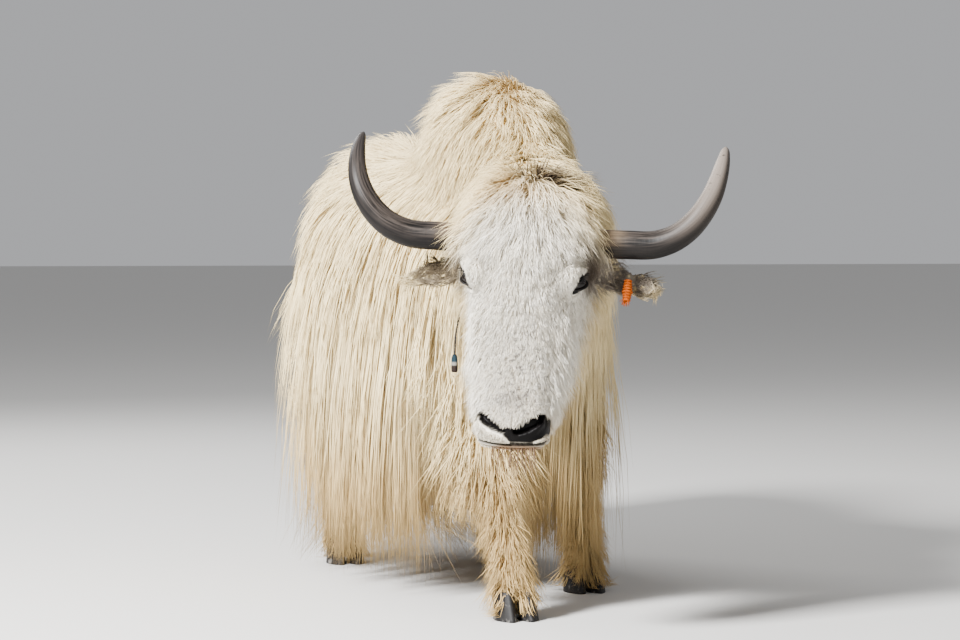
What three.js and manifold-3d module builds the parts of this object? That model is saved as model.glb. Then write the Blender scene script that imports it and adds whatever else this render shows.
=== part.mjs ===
// A life-size standing yak bull with a long pale coat, head lowered and turned to its right.
// Millimetres, +Z up. It faces -Y, so its left side is at +X and its right side at -X.
// It walks: the right forefoot is set forward under the chest and the left hind foot follows.

import * as THREE from "three";
import { mergeVertices } from "three/addons/utils/BufferGeometryUtils.js";
import Module from "manifold-3d";

const wasm = await Module();
wasm.setup();

// Driving dimensions
const GAP = 0.3; // left between two nodes that touch
const WELD = 0.001; // vertices nearer than this are one
const MITRE_ROUNDS = 40; // steps that move a vertex clear of all its faces
const REACH = 1500; // further than any part of the yak
const FLANK_FACE = 205; // the flanks are cut from the torso at this distance from the middle
const SOLE = 0; // height of the flat soles
const EYE_RADIUS = 19;
const HORN_RADIUS = 31; // at the root
const HOOF_LENGTH = 104;
const HOOF_WIDTH = 46;
const HOOF_HEIGHT = 62;
const CLAW_OFFSET = 26; // from the middle of the foot to the middle of each claw
const CORD_RADIUS = 5;
const STRING_RADIUS = 3.5;
const SEED = 11; // of the coat's random draw
const LONG_TAPER = [0.8, 1, 0.95, 0.6, 0]; // width from root to tip, as a share of the widest
const SHORT_TAPER = [0.8, 1, 0.72, 0];
const LOCK_SIDES = 3;
const LOCK_FLATNESS = Math.cos(Math.PI / 6); // half width of a lock's section over its radius
const LOWEST_TIP = 14; // no hair reaches further down

const v3 = (x, y, z) => new THREE.Vector3(x, y, z);
const sides = { right: -1, left: 1 };
const radians = THREE.MathUtils.degToRad;
const mix = THREE.MathUtils.lerp;

// Smooth sizes between rows: the first number of each row is its place along the form.
function track(rows) {
  const places = new Float32Array(rows.map((row) => row[0]));
  const values = new Float32Array(rows.flatMap((row) => row.slice(1)));
  const curve = new THREE.CubicInterpolant(places, values, rows[0].length - 1);
  return (place) => Array.from(curve.evaluate(place));
}

// A closed form made of rings along a spine.
// Each row is [place, x, y, z, half width, height above, depth below, squareness].
class Form {
  constructor({ rows, sides, rings, ahead = v3(0, 0, 1), pose = new THREE.Matrix4() }) {
    Object.assign(this, { sides, rings, ahead, pose });
    this.first = rows[0][0];
    this.last = rows.at(-1)[0];
    this.sizes = track(rows);
  }

  point(place, angle) {
    const step = (this.last - this.first) * 0.01;
    const [x, y, z, half, above, below, square] = this.sizes(place);
    const before = this.sizes(Math.max(place - step, this.first));
    const after = this.sizes(Math.min(place + step, this.last));
    const along = v3(after[0] - before[0], after[1] - before[1], after[2] - before[2]).normalize();
    const side = along.clone().cross(this.ahead).normalize();
    const up = side.clone().cross(along);
    const rounded = (value) => Math.sign(value) * Math.abs(value) ** (2 / square);
    const lift = rounded(Math.sin(angle));
    return v3(x, y, z)
      .addScaledVector(side, rounded(Math.cos(angle)) * half)
      .addScaledVector(up, lift * (lift > 0 ? above : below))
      .applyMatrix4(this.pose);
  }

  normal(place, angle) {
    const step = (this.last - this.first) * 0.01;
    const along = this.point(Math.min(place + step, this.last), angle);
    along.sub(this.point(Math.max(place - step, this.first), angle));
    const around = this.point(place, angle + 0.02).sub(this.point(place, angle - 0.02));
    return along.cross(around).normalize();
  }

  geometry() {
    const shape = new THREE.CylinderGeometry(1, 1, 1, this.sides, this.rings);
    const position = shape.attributes.position;
    for (let i = 0; i < position.count; i++) {
      const place = mix(this.first, this.last, 0.5 - position.getY(i));
      const onRing = Math.hypot(position.getX(i), position.getZ(i)) > 0.5;
      const angle = Math.atan2(position.getX(i), position.getZ(i));
      const spot = this.point(place, onRing ? angle : 0);
      if (!onRing) spot.add(this.point(place, Math.PI)).multiplyScalar(0.5);
      position.setXYZ(i, ...spot);
    }
    return shape;
  }
}

// An egg or flattened ball, turned by a pose.
function ball(radii, centre, turn = [0, 0, 0], pose = new THREE.Matrix4(), sides = 8) {
  return new THREE.SphereGeometry(1, sides, Math.round(sides * 0.7))
    .applyMatrix4(new THREE.Matrix4().makeScale(...radii))
    .applyMatrix4(new THREE.Matrix4().makeRotationFromEuler(new THREE.Euler(...turn.map(radians))))
    .applyMatrix4(new THREE.Matrix4().makeTranslation(...centre))
    .applyMatrix4(pose);
}

// Merged geometry, with each vertex moved until all the faces that meet there lie further out by `by`.
function grown(geometry, by) {
  const bare = geometry.clone();
  for (const name of ["normal", "uv"]) bare.deleteAttribute(name);
  const merged = mergeVertices(bare, WELD);
  if (!by) return merged;
  const { position } = merged.attributes;
  const facing = Array.from({ length: position.count }, () => []);
  for (let i = 0; i < merged.index.count; i += 3) {
    const corners = [0, 1, 2].map((step) => merged.index.getX(i + step));
    const [a, b, c] = corners.map((corner) => v3().fromBufferAttribute(position, corner));
    const out = new THREE.Triangle(a, b, c).getNormal(v3());
    corners.forEach((corner) => facing[corner].push(out));
  }
  facing.forEach((around, i) => {
    const move = v3();
    for (let round = 0; round < MITRE_ROUNDS; round++) {
      for (const out of around) move.addScaledVector(out, Math.max(by - out.dot(move), 0));
    }
    position.setXYZ(i, ...v3().fromBufferAttribute(position, i).add(move));
  });
  return merged;
}

// Geometry to solid and back.
function solid(geometry, by = 0) {
  const merged = grown(geometry, by);
  return new wasm.Manifold(
    new wasm.Mesh({
      numProp: 3,
      vertProperties: merged.attributes.position.array,
      triVerts: new Uint32Array(merged.index.array),
    }),
  );
}

function joined(pieces, by = 0) {
  return pieces.map((piece) => solid(piece, by)).reduce((all, next) => all.add(next));
}

function geometryOf(made) {
  const mesh = made.getMesh();
  const points = new Float32Array(mesh.numVert * 3);
  for (let i = 0; i < mesh.numVert; i++) {
    points.set(mesh.vertProperties.subarray(i * mesh.numProp, i * mesh.numProp + 3), i * 3);
  }
  const geometry = new THREE.BufferGeometry();
  geometry.setAttribute("position", new THREE.BufferAttribute(points, 3));
  geometry.setIndex(new THREE.BufferAttribute(mesh.triVerts, 1));
  geometry.computeVertexNormals();
  return geometry;
}

// The outer surface of the largest body, so that scraps and sealed hollows are dropped.
function largest(made) {
  return made.decompose().reduce((most, next) => (next.volume() > most.volume() ? next : most));
}

const block = (low, high) =>
  new THREE.BoxGeometry(high[0] - low[0], high[1] - low[1], high[2] - low[2]).translate(
    (low[0] + high[0]) / 2,
    (low[1] + high[1]) / 2,
    (low[2] + high[2]) / 2,
  );

// Trunk: [place, x, y, z, half width, above, below, squareness] from the chest to the rump.
const trunkForm = new Form({
  sides: 22,
  rings: 15,
  rows: [
    [0, 0, -655, 720, 60, 70, 80, 2],
    [1, 0, -630, 725, 115, 130, 150, 2.1],
    [2, 0, -540, 735, 175, 180, 215, 2.2],
    [3, 0, -400, 745, 212, 240, 265, 2.3],
    [4, 0, -220, 755, 250, 270, 275, 2.3],
    [5, 0, 0, 765, 292, 272, 290, 2.2],
    [6, 0, 220, 770, 312, 270, 285, 2.2],
    [7, 0, 430, 785, 294, 285, 255, 2.2],
    [8, 0, 600, 805, 240, 285, 215, 2.2],
    [9, 0, 720, 820, 175, 245, 165, 2.1],
    [10, 0, 785, 830, 105, 165, 110, 2],
    [11, 0, 805, 830, 50, 85, 60, 2],
  ],
});
const trunkBody = [trunkForm.geometry()];

// Hump: a tall narrow dome over the shoulders, from front to back.
const humpForm = new Form({
  sides: 16,
  rings: 9,
  rows: [
    [0, 0, -580, 930, 45, 60, 60, 2],
    [1, 0, -545, 945, 92, 120, 110, 2.1],
    [2, 0, -450, 960, 135, 190, 140, 2.2],
    [3, 0, -340, 970, 158, 232, 150, 2.3],
    [4, 0, -220, 970, 158, 226, 150, 2.3],
    [5, 0, -90, 960, 138, 165, 140, 2.2],
    [6, 0, 20, 950, 100, 112, 120, 2.1],
    [7, 0, 75, 940, 55, 60, 60, 2],
  ],
});

// Head pose: turned to the right, face sloping forward, tilted a little to the left.
const HEAD_TURN = -25;
const FACE_SLOPE = -18;
const HEAD_TILT = 2.7;
const POLL = v3(-93, -872, 941);
const headPose = new THREE.Matrix4()
  .makeRotationZ(radians(HEAD_TURN))
  .multiply(new THREE.Matrix4().makeRotationY(radians(HEAD_TILT)))
  .multiply(new THREE.Matrix4().makeRotationX(radians(FACE_SLOPE)))
  .setPosition(POLL);
const inHead = (geometry) => geometry.applyMatrix4(headPose);

// The head hangs from its poll at the origin: the face is towards -Y and the muzzle down.
const headForm = new Form({
  sides: 20,
  rings: 16,
  ahead: v3(0, -1, 0),
  pose: headPose,
  rows: [
    [0, 0, 4, 12, 40, 34, 34, 2],
    [1, 0, 4, -2, 80, 66, 62, 2],
    [2, 0, 2, -60, 112, 90, 104, 2.3],
    [3, 0, 0, -135, 120, 98, 142, 2.4],
    [4, 0, 0, -215, 122, 97, 150, 2.4],
    [5, 0, 0, -290, 106, 90, 136, 2.3],
    [6, 0, 0, -360, 92, 83, 112, 2.3],
    [7, 0, 0, -425, 83, 76, 90, 2.3],
    [8, 0, 0, -480, 80, 71, 72, 2.4],
    [9, 0, 0, -530, 79, 63, 56, 2.5],
    [10, 0, 4, -562, 66, 44, 42, 2.3],
    [11, 0, 6, -578, 38, 22, 26, 2],
  ],
});

// A frame on the head: one axis along a slit, one across it and one out of the head.
// Both sides of the head are made by one function: side is 1 on its left and -1 on its right.
function slitFrame(side, centre, along, outward) {
  const out = v3(outward[0] * side, outward[1], outward[2]).normalize();
  const length = v3(along[0] * side, along[1], along[2]);
  length.addScaledVector(out, -length.dot(out)).normalize();
  const frame = new THREE.Matrix4().makeBasis(length, out.clone().cross(length), out);
  frame.setPosition(centre[0] * side, centre[1], centre[2]);
  return frame;
}

// A hole of a drawn outline through the head, from a depth inside to a height outside.
function opening(outline, frame, inside, outside) {
  const through = new THREE.ExtrudeGeometry(outline, {
    depth: inside + outside,
    bevelEnabled: false,
    curveSegments: 5,
  });
  return solid(inHead(through.translate(0, 0, -inside).applyMatrix4(frame)));
}

// Eyes: a ball, the bulge of its socket, lids that wrap it and the almond between them.
const EYE_PLACE = [111, -46, -220];
const LID_THICKNESS = 5;
const BESIDE = [1, -0.3, 0.12]; // out of an eye
const CANTHUS = [0, -0.64, -0.77]; // from the outer to the inner corner of an eye
const eyeAt = (side) => [EYE_PLACE[0] * side, EYE_PLACE[1], EYE_PLACE[2]];
const eyeBall = (side) => ball([EYE_RADIUS, EYE_RADIUS, EYE_RADIUS], eyeAt(side), [0, 0, 0], headPose, 12);
const socket = (side) => ball([30, 50, 42], [side * 97, -44, -214], [0, 0, 0], headPose);
const brow = (side) => ball([13, 30, 12], [side * 118, -52, -190], [38, 0, side * 20], headPose);

function lids(side) {
  const radius = EYE_RADIUS + LID_THICKNESS;
  return ball([radius, radius, radius], eyeAt(side), [0, 0, 0], headPose, 12);
}

function lidOpening(side) {
  const almond = new THREE.Shape();
  almond.moveTo(-19, 0);
  almond.quadraticCurveTo(0, 21, 19, 0);
  almond.quadraticCurveTo(0, -17, -19, 0);
  return opening(almond, slitFrame(side, EYE_PLACE, CANTHUS, BESIDE), 0, 40);
}

// Nostrils: commas that are blunt towards the middle of the nose.
const NOSTRIL_PLACE = [46, -56, -521];

function nostril(side) {
  const comma = new THREE.Shape();
  comma.moveTo(25, side * 6);
  comma.quadraticCurveTo(8, side * 10, -5, side * 9);
  comma.quadraticCurveTo(-20, side * 8, -19, side * -2);
  comma.quadraticCurveTo(-17, side * -10, -6, side * -8);
  comma.quadraticCurveTo(9, side * -5, 25, side * 6);
  return opening(comma, slitFrame(side, NOSTRIL_PLACE, [0.7, 0.3, 0.62], [0.45, -0.85, -0.3]), 20, 30);
}

const nostrilWing = (side) => ball([24, 20, 27], [side * 49, -44, -516], [0, side * 20, 0], headPose);
const cheek = (side) => ball([32, 74, 84], [side * 72, 60, -238], [8, 0, side * 6], headPose);
const hornCollar = (side) => ball([42, 46, 42], [side * 100, 6, -112], [0, 0, 0], headPose);
const chin = () => ball([46, 24, 34], [0, 38, -546], [-8, 0, 0], headPose);
const upperLip = () => ball([72, 32, 24], [0, -8, -560], [10, 0, 0], headPose);

// The line of the mouth: a thin plate that bites into the lips all round.
const MOUTH_GAP = 3;
const MOUTH_DEPTH = 10;
const MOUTH_RISE = -12;

function mouthLine() {
  const plate = new THREE.BoxGeometry(240, MOUTH_GAP, 160).rotateX(radians(MOUTH_RISE));
  const inside = ball([79 - MOUTH_DEPTH, 60 - MOUTH_DEPTH, 90], [0, 0, -542], [0, 0, 0], headPose);
  return solid(inHead(plate.translate(0, 27, -542))).subtract(solid(inside));
}

// Horns: the middle line on the left, in the head's own frame.
const HORN_LINE = [
  [95, 10, -112],
  [150, 11, -114],
  [201, 11, -114],
  [266, 6, -111],
  [303, -3, -98],
  [333, -12, -76],
  [357, -20, -46],
  [374, -22, -11],
  [384, -16, 27],
  [389, 0, 64],
  [391, 22, 98],
  [391, 46, 124],
];

function horn(side) {
  const line = new THREE.CatmullRomCurve3(HORN_LINE.map(([x, y, z]) => v3(x * side, y, z)));
  const girth = track([
    [0, 1],
    [0.35, 0.98],
    [0.55, 0.84],
    [0.75, 0.64],
    [0.9, 0.42],
    [0.97, 0.24],
    [1, 0.1],
  ]);
  const rows = [];
  for (let i = 0; i <= 16; i++) {
    const radius = HORN_RADIUS * girth(i / 16)[0];
    rows.push([i / 16, ...line.getPointAt(i / 16), radius, radius * 0.93, radius * 0.93, 2]);
  }
  return new Form({ rows, sides: 10, rings: 13, ahead: v3(0, -1, 0.2), pose: headPose }).geometry();
}

// Ears: a leaf hollowed by a smaller leaf, held out below the horn and drooping a little.
const EAR_ROOT = [106, 34, -160];
const EAR_REACH = 168;
const EAR_DROOP = Math.sin(radians(11));
const EAR_BACK = Math.sin(radians(15));

function leaf(side, { from, to, half, thick, forward, sides: ringSides, rings }) {
  const rows = [
    [0, 0.5, 0.5],
    [0.15, 0.62, 0.85],
    [0.38, 0.94, 1],
    [0.6, 1, 0.9],
    [0.82, 0.78, 0.7],
    [0.95, 0.42, 0.45],
    [1, 0.16, 0.2],
  ].map(([share, wide, deep]) => {
    const way = mix(from, to, share) * EAR_REACH;
    const [x, y, z] = [EAR_ROOT[0] + way, EAR_ROOT[1] + way * EAR_BACK - forward, EAR_ROOT[2] - way * EAR_DROOP];
    return [share, side * x, y, z, half * wide, thick * deep, thick * deep, 2];
  });
  return new Form({ rows, sides: ringSides, rings, ahead: v3(0, -1, 0.3), pose: headPose });
}

const earForm = (side) => leaf(side, { from: 0, to: 1, half: 31, thick: 13, forward: 0, sides: 12, rings: 7 });
const earCup = (side) =>
  leaf(side, { from: 0.22, to: 0.88, half: 22, thick: 12, forward: 10, sides: 10, rings: 5 }).geometry();

// Wound yarn tied to the front of the left ear.
const YARN_TOP = [208, 34, -186];
const YARN_LENGTH = 42;
const YARN_RADIUS = 10;
const YARN_TURNS = 6;

function earYarn() {
  const rows = [];
  for (let i = 0; i <= 2 * YARN_TURNS; i++) {
    const share = i / (2 * YARN_TURNS);
    const radius = YARN_RADIUS * (0.7 + 0.3 * Math.sin(Math.PI * share)) * (i % 2 ? 1 : 0.88);
    const [x, y, z] = YARN_TOP;
    rows.push([i, x, y, z - share * YARN_LENGTH, radius, radius, radius, 2]);
  }
  const rings = 2 * YARN_TURNS;
  return new Form({ rows, sides: 10, rings, ahead: v3(0, -1, 0), pose: headPose }).geometry();
}

// Neck: from between the shoulders to the back of the head.
const neckForm = new Form({
  sides: 16,
  rings: 8,
  rows: [
    [0, 0, -430, 800, 150, 150, 170, 2.1],
    [1, 0, -520, 808, 172, 200, 215, 2.2],
    [2, -12, -610, 818, 168, 208, 215, 2.2],
    [3, -34, -700, 826, 152, 188, 196, 2.2],
    [4, -60, -780, 826, 134, 160, 172, 2.2],
    [5, -80, -845, 818, 108, 132, 140, 2.1],
    [6, -88, -880, 812, 66, 84, 90, 2],
  ],
});

// Cord round the neck, close behind the head, and the bound tag that hangs at its right side.
const CORD_PLACE = 3.7;
const TAG_ANGLE = radians(-26);
const TAG_DROP = 155; // from the cord to the top of the tag
const TAG_OUT = 44; // the string lies out over the hair

function neckCord() {
  const ring = new THREE.TorusGeometry(1, 0.4, 5, 24);
  const position = ring.attributes.position;
  for (let i = 0; i < position.count; i++) {
    const [x, y, z] = [position.getX(i), position.getY(i), position.getZ(i)];
    const angle = Math.atan2(y, x);
    const out = (Math.hypot(x, y) - 1) / 0.4;
    const spot = neckForm.point(CORD_PLACE, angle);
    spot.addScaledVector(neckForm.normal(CORD_PLACE, angle), (out + 0.8) * CORD_RADIUS);
    const ahead = neckForm.point(CORD_PLACE + 0.1, angle).sub(neckForm.point(CORD_PLACE - 0.1, angle));
    position.setXYZ(i, ...spot.addScaledVector(ahead.normalize(), (-z / 0.4) * CORD_RADIUS));
  }
  return ring;
}

function neckTag() {
  const start = neckForm.point(CORD_PLACE, TAG_ANGLE);
  const { x, y, z } = start.addScaledVector(neckForm.normal(CORD_PLACE, TAG_ANGLE), CORD_RADIUS * 2.2);
  const low = z - TAG_DROP;
  const rows = [
    [0, x + 2, y, z + 2, STRING_RADIUS, STRING_RADIUS, STRING_RADIUS, 2],
    [1, x - TAG_OUT * 0.5, y, z - TAG_DROP * 0.28, STRING_RADIUS, STRING_RADIUS, STRING_RADIUS, 2],
    [2, x - TAG_OUT * 0.9, y, z - TAG_DROP * 0.66, STRING_RADIUS, STRING_RADIUS, STRING_RADIUS, 2],
    [3, x - TAG_OUT, y, low, 5, 4.5, 4.5, 2.4],
    [4, x - TAG_OUT, y, low - 12, 8, 6, 6, 2.6],
    [5, x - TAG_OUT, y, low - 30, 9.5, 6, 6, 2.6],
    [6, x - TAG_OUT, y, low - 38, 9, 5.5, 5.5, 2.6],
  ];
  return new Form({ rows, sides: 10, rings: 9, ahead: v3(-1, -0.3, 0) }).geometry();
}

// Legs: [place, x, y, z, half width, forward, back, squareness] from the body down to the coronet.
const LEG_ROWS = {
  leg_front_right: [
    [0, -128, -372, 690, 74, 84, 96, 2.1],
    [1, -122, -410, 590, 68, 74, 84, 2.1],
    [2, -108, -466, 470, 56, 60, 64, 2.1],
    [3, -94, -540, 350, 50, 54, 50, 2.2],
    [4, -88, -580, 280, 44, 44, 44, 2.2],
    [5, -82, -628, 180, 38, 38, 40, 2.2],
    [6, -79, -652, 105, 46, 44, 48, 2.2],
    [7, -78, -666, 62, 52, 46, 42, 2.3],
    [8, -78, -674, 34, 48, 42, 34, 2.3],
  ],
  leg_front_left: [
    [0, 128, -372, 690, 74, 84, 96, 2.1],
    [1, 136, -366, 590, 68, 74, 84, 2.1],
    [2, 156, -346, 470, 56, 60, 64, 2.1],
    [3, 182, -318, 350, 50, 54, 50, 2.2],
    [4, 192, -302, 280, 44, 44, 44, 2.2],
    [5, 206, -274, 180, 38, 38, 40, 2.2],
    [6, 212, -262, 105, 46, 44, 48, 2.2],
    [7, 214, -262, 62, 52, 46, 42, 2.3],
    [8, 214, -266, 34, 48, 42, 34, 2.3],
  ],
  leg_hind_right: [
    [0, -140, 520, 820, 92, 120, 130, 2.2],
    [1, -158, 500, 700, 98, 130, 128, 2.2],
    [2, -176, 490, 570, 84, 104, 96, 2.2],
    [3, -186, 512, 450, 60, 66, 66, 2.2],
    [4, -192, 540, 360, 48, 50, 56, 2.2],
    [5, -196, 520, 280, 42, 42, 46, 2.2],
    [6, -199, 486, 180, 38, 38, 40, 2.2],
    [7, -200, 462, 105, 46, 44, 48, 2.2],
    [8, -200, 450, 62, 52, 46, 42, 2.3],
    [9, -200, 444, 34, 48, 42, 34, 2.3],
  ],
  leg_hind_left: [
    [0, 140, 520, 820, 92, 120, 130, 2.2],
    [1, 158, 480, 700, 98, 130, 128, 2.2],
    [2, 174, 450, 570, 84, 104, 96, 2.2],
    [3, 182, 452, 450, 60, 66, 66, 2.2],
    [4, 186, 462, 360, 48, 50, 56, 2.2],
    [5, 188, 430, 280, 42, 42, 46, 2.2],
    [6, 190, 384, 180, 38, 38, 40, 2.2],
    [7, 190, 352, 105, 46, 44, 48, 2.2],
    [8, 190, 336, 62, 52, 46, 42, 2.3],
    [9, 190, 330, 34, 48, 42, 34, 2.3],
  ],
};
const legForms = Object.fromEntries(
  Object.entries(LEG_ROWS).map(([name, rows]) => [
    name,
    new Form({ rows, sides: 12, rings: 11, ahead: v3(0, -1, 0) }),
  ]),
);

// One claw of a cloven hoof on its flat sole; side is 1 for the claw on the left.
function claw(x, y, side) {
  const shape = new THREE.CylinderGeometry(1, 1, 1, 12, 2);
  const position = shape.attributes.position;
  for (let i = 0; i < position.count; i++) {
    const down = 0.5 - position.getY(i);
    const across = position.getX(i);
    const fore = -position.getZ(i);
    const length = mix(0.62, 1, down) * (HOOF_LENGTH / 2);
    const width = mix(0.8, 1, down) * (HOOF_WIDTH / 2);
    const toe = Math.max(-fore, 0);
    const narrowed = width * (1 - 0.35 * toe ** 2);
    position.setXYZ(
      i,
      x + across * narrowed + side * (CLAW_OFFSET - 4 * toe),
      y + fore * length - mix(0, 14, down),
      SOLE + (1 - down) * (HOOF_HEIGHT - (fore > 0 ? 16 * fore : 0)),
    );
  }
  return shape;
}

const FEET = {
  front_right: [-78, -672],
  front_left: [214, -262],
  hind_right: [-200, 446],
  hind_left: [190, 332],
};

// Tail: a short dock and the brush of hair that it carries.
const dockForm = new Form({
  sides: 14,
  rings: 8,
  ahead: v3(0, 1, 0.4),
  rows: [
    [0, 0, 745, 1010, 40, 40, 40, 2],
    [1, 0, 790, 1005, 42, 40, 40, 2],
    [2, 4, 838, 965, 42, 38, 38, 2],
    [3, 8, 862, 900, 40, 36, 36, 2],
    [4, 12, 868, 840, 38, 34, 34, 2],
  ],
});
const brushForm = new Form({
  sides: 12,
  rings: 7,
  ahead: v3(0, 1, 0.2),
  rows: [
    [0, 12, 868, 838, 36, 32, 32, 2],
    [1, 14, 870, 780, 48, 40, 40, 2],
    [2, 16, 868, 700, 50, 42, 42, 2],
    [3, 18, 864, 620, 38, 32, 32, 2],
    [4, 20, 860, 570, 18, 16, 16, 2],
  ],
});

// Coat

// A seeded draw between two numbers, so that every build gives the same coat.
let drawn = SEED;
function draw(low, high) {
  drawn = (Math.imul(drawn, 1664525) + 1013904223) >>> 0;
  return mix(low, high, drawn / 2 ** 32);
}

// One tapered lock, flat on the side of the skin and ridged outside. It leaves its root along `lie`,
// lifted out of the skin, and falls as it goes.
function lock({ root, out, along, lie, length, width, thick, lift, fall, sink, sway, taper }) {
  const shape = new THREE.ConeGeometry(1, 1, LOCK_SIDES, taper.length - 1);
  const step = (length + sink) / (taper.length - 1);
  const spot = root.clone().addScaledVector(out, -sink);
  const way = lie.clone().addScaledVector(out, lift).normalize();
  const across = way.clone().cross(out);
  if (across.length() < 0.5) across.copy(along);
  const rings = taper.map((share) => {
    across.addScaledVector(way, -across.dot(way)).normalize();
    const face = across.clone().cross(way);
    const ring = { centre: spot.clone(), wide: across.clone().multiplyScalar((share * width) / 2 / LOCK_FLATNESS), face, share };
    spot.addScaledVector(way, step);
    way.add(v3(0, 0, -fall)).addScaledVector(across, sway).normalize();
    return ring;
  });
  const position = shape.attributes.position;
  for (let i = 0; i < position.count; i++) {
    const level = Math.round((position.getY(i) + 0.5) * (rings.length - 1));
    const left = 1 - level / (rings.length - 1); // radius of the cone at this level
    const { centre, wide, face, share } = rings[level];
    const point = centre.clone();
    if (left > 0) {
      point.addScaledVector(wide, position.getX(i) / left);
      point.addScaledVector(face, (position.getZ(i) / left) * thick * 0.6 * Math.min(1, share * 1.3));
    }
    position.setXYZ(i, point.x, point.y, Math.max(point.z, LOWEST_TIP));
  }
  return shape;
}

// Rows of locks on a form. `at` and `angle` run from the first lock's to the last lock's, and `hem`
// gives the height that the tips reach, for hair that hangs.
function tier(form, { at, angle, count, length, hem, lift = 0.35, fall = 0.5, taper = SHORT_TAPER, ...shape }) {
  const { width, thick, lie, sink = 24 } = shape;
  return Array.from({ length: count }, (_, i) => {
    const share = count > 1 ? i / (count - 1) : 0.5;
    const place = mix(at[0], at[1], share) + draw(-0.05, 0.05);
    const turn = radians(mix(angle[0], angle[1], share) + draw(-3, 3));
    const root = form.point(place, turn);
    const out = form.normal(place, turn);
    const ahead = form.point(place + 0.05, turn).sub(form.point(place - 0.05, turn)).normalize();
    const reach = hem ? root.z - hem(root.y)[0] : length;
    return lock({
      root,
      out,
      along: ahead,
      lie: v3(...lie).transformDirection(form.pose),
      length: reach * draw(0.92, 1.08),
      width: width * draw(0.88, 1.12),
      thick: thick * draw(0.9, 1.1),
      lift: lift * draw(0.8, 1.2),
      fall,
      sink,
      sway: draw(-0.05, 0.05),
      taper,
    });
  });
}

// Dense inner curtain of the skirt, which reaches half way to its tips.
function curtain(side) {
  const rows = [
    [-420, 224, 620, 14, 40],
    [-330, 230, 610, 20, 100],
    [-190, 250, 604, 26, 126],
    [0, 286, 598, 30, 134],
    [220, 302, 596, 32, 134],
    [430, 288, 600, 30, 128],
    [570, 244, 620, 16, 50],
  ].map(([y, x, z, half, tall], i) => [i, side * x, y, z, half, tall, tall, 2.3]);
  return new Form({ rows, sides: 10, rings: 8 });
}

// Height of the hair's tips along the skirt, by place from front to back.
const HEM = {
  right: track([
    [-460, 430],
    [-330, 360],
    [-200, 310],
    [0, 200],
    [200, 120],
    [430, 70],
    [640, 150],
  ]),
  left: track([
    [-460, 260],
    [-330, 140],
    [-200, 100],
    [0, 90],
    [200, 100],
    [430, 80],
    [640, 150],
  ]),
};

function skirt(name, side) {
  const round = (angle) => (side > 0 ? [angle, angle] : [180 - angle, 180 - angle]);
  const hangs = { width: 150, thick: 32, lie: [0, 0.06, -1], fall: 2, taper: LONG_TAPER };
  const drapes = { width: 200, thick: 36, lift: 0.2, fall: 0.5, taper: SHORT_TAPER };
  const middle = (y) => [HEM[name](y)[0] * 0.45 + 250];
  const inner = curtain(side);
  return [
    inner.geometry(),
    ...tier(inner, { at: [0.25, 5.75], angle: round(-72), count: 8, hem: HEM[name], ...hangs, lift: 0.05 }),
    ...tier(inner, { at: [0.2, 5.6], angle: round(-10), count: 7, hem: middle, ...hangs, lift: 0.25 }),
    ...tier(trunkForm, { at: [4.2, 7.6], angle: round(22), count: 5, length: 320, ...hangs, ...drapes }),
  ];
}

function torsoCoat() {
  const hair = { width: 110, thick: 26 };
  return Object.values(sides).flatMap((side) => [
    ...tier(trunkForm, {
      at: [1.1, 2.9],
      angle: side > 0 ? [-74, -62] : [-106, -118],
      count: 3,
      hem: () => [290],
      lie: [0, 0.1, -1],
      ...hair,
    }),
    ...tier(trunkForm, {
      at: [8.6, 10.2],
      angle: side > 0 ? [-16, -34] : [196, 214],
      count: 3,
      length: 300,
      lie: [0, 0.12, -1],
      lift: 0.7,
      ...hair,
    }),
    ...tier(trunkForm, {
      at: [5.4, 9.4],
      angle: side > 0 ? [66, 60] : [114, 120],
      count: 3,
      length: 200,
      lie: [side * 0.4, 0.8, -0.2],
      lift: 0.12,
      ...hair,
    }),
  ]);
}

function humpCoat() {
  const hair = { width: 124, thick: 28, lift: 0.34, fall: 0.25 };
  return Object.values(sides).flatMap((side) =>
    [76, 48, 20].flatMap((angle, row) =>
      tier(humpForm, {
        at: [1.3 + row * 0.2, 5.4 + row * 0.3],
        angle: side > 0 ? [angle, angle] : [180 - angle, 180 - angle],
        count: 3,
        length: 165 + row * 10,
        lie: [side * 0.5, 0.35 - row * 0.05, -0.35 - row * 0.4],
        ...hair,
      }),
    ),
  );
}

function neckCoat() {
  const hair = { width: 98, thick: 24 };
  return Object.values(sides).flatMap((side) => {
    const round = (angle) => (side > 0 ? [180 - angle, 180 - angle] : [angle, angle]);
    return [
      ...tier(neckForm, { at: [1.5, 4.1], angle: round(48), count: 3, length: 150, lie: [side * 0.6, 0.3, -0.6], ...hair }),
      ...tier(neckForm, { at: [1.6, 4.2], angle: round(4), count: 3, length: 200, lie: [side * 0.3, 0, -1], ...hair }),
      ...tier(neckForm, { at: [1.5, 4.2], angle: round(-42), count: 3, length: 230, lie: [0, -0.1, -1], ...hair }),
    ];
  });
}

function headCoat() {
  const hair = { thick: 16, sink: 18, fall: 0.25 };
  const down = [0, -0.25, -1];
  const both = Object.values(sides).flatMap((side) => {
    const round = (angle) => (side > 0 ? 180 - angle : angle);
    return [
      ...tier(headForm, {
        at: [2.3, 3.6],
        angle: [round(14), round(6)],
        count: 2,
        length: 96,
        width: 60,
        lie: [side * 0.7, -0.1, -1],
        ...hair,
      }),
      ...tier(headForm, {
        at: [4.9, 6.1],
        angle: [round(-14), round(-24)],
        count: 2,
        length: 88,
        width: 52,
        lie: [side * 0.45, 0.35, -1],
        ...hair,
      }),
    ];
  });
  return [
    ...tier(headForm, { at: [1.15, 1.15], angle: [24, 156], count: 5, length: 118, width: 74, lie: down, lift: 0.7, ...hair }),
    ...tier(headForm, { at: [2.35, 2.35], angle: [42, 138], count: 4, length: 96, width: 68, lie: down, lift: 0.4, ...hair }),
    ...both,
  ];
}

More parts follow.
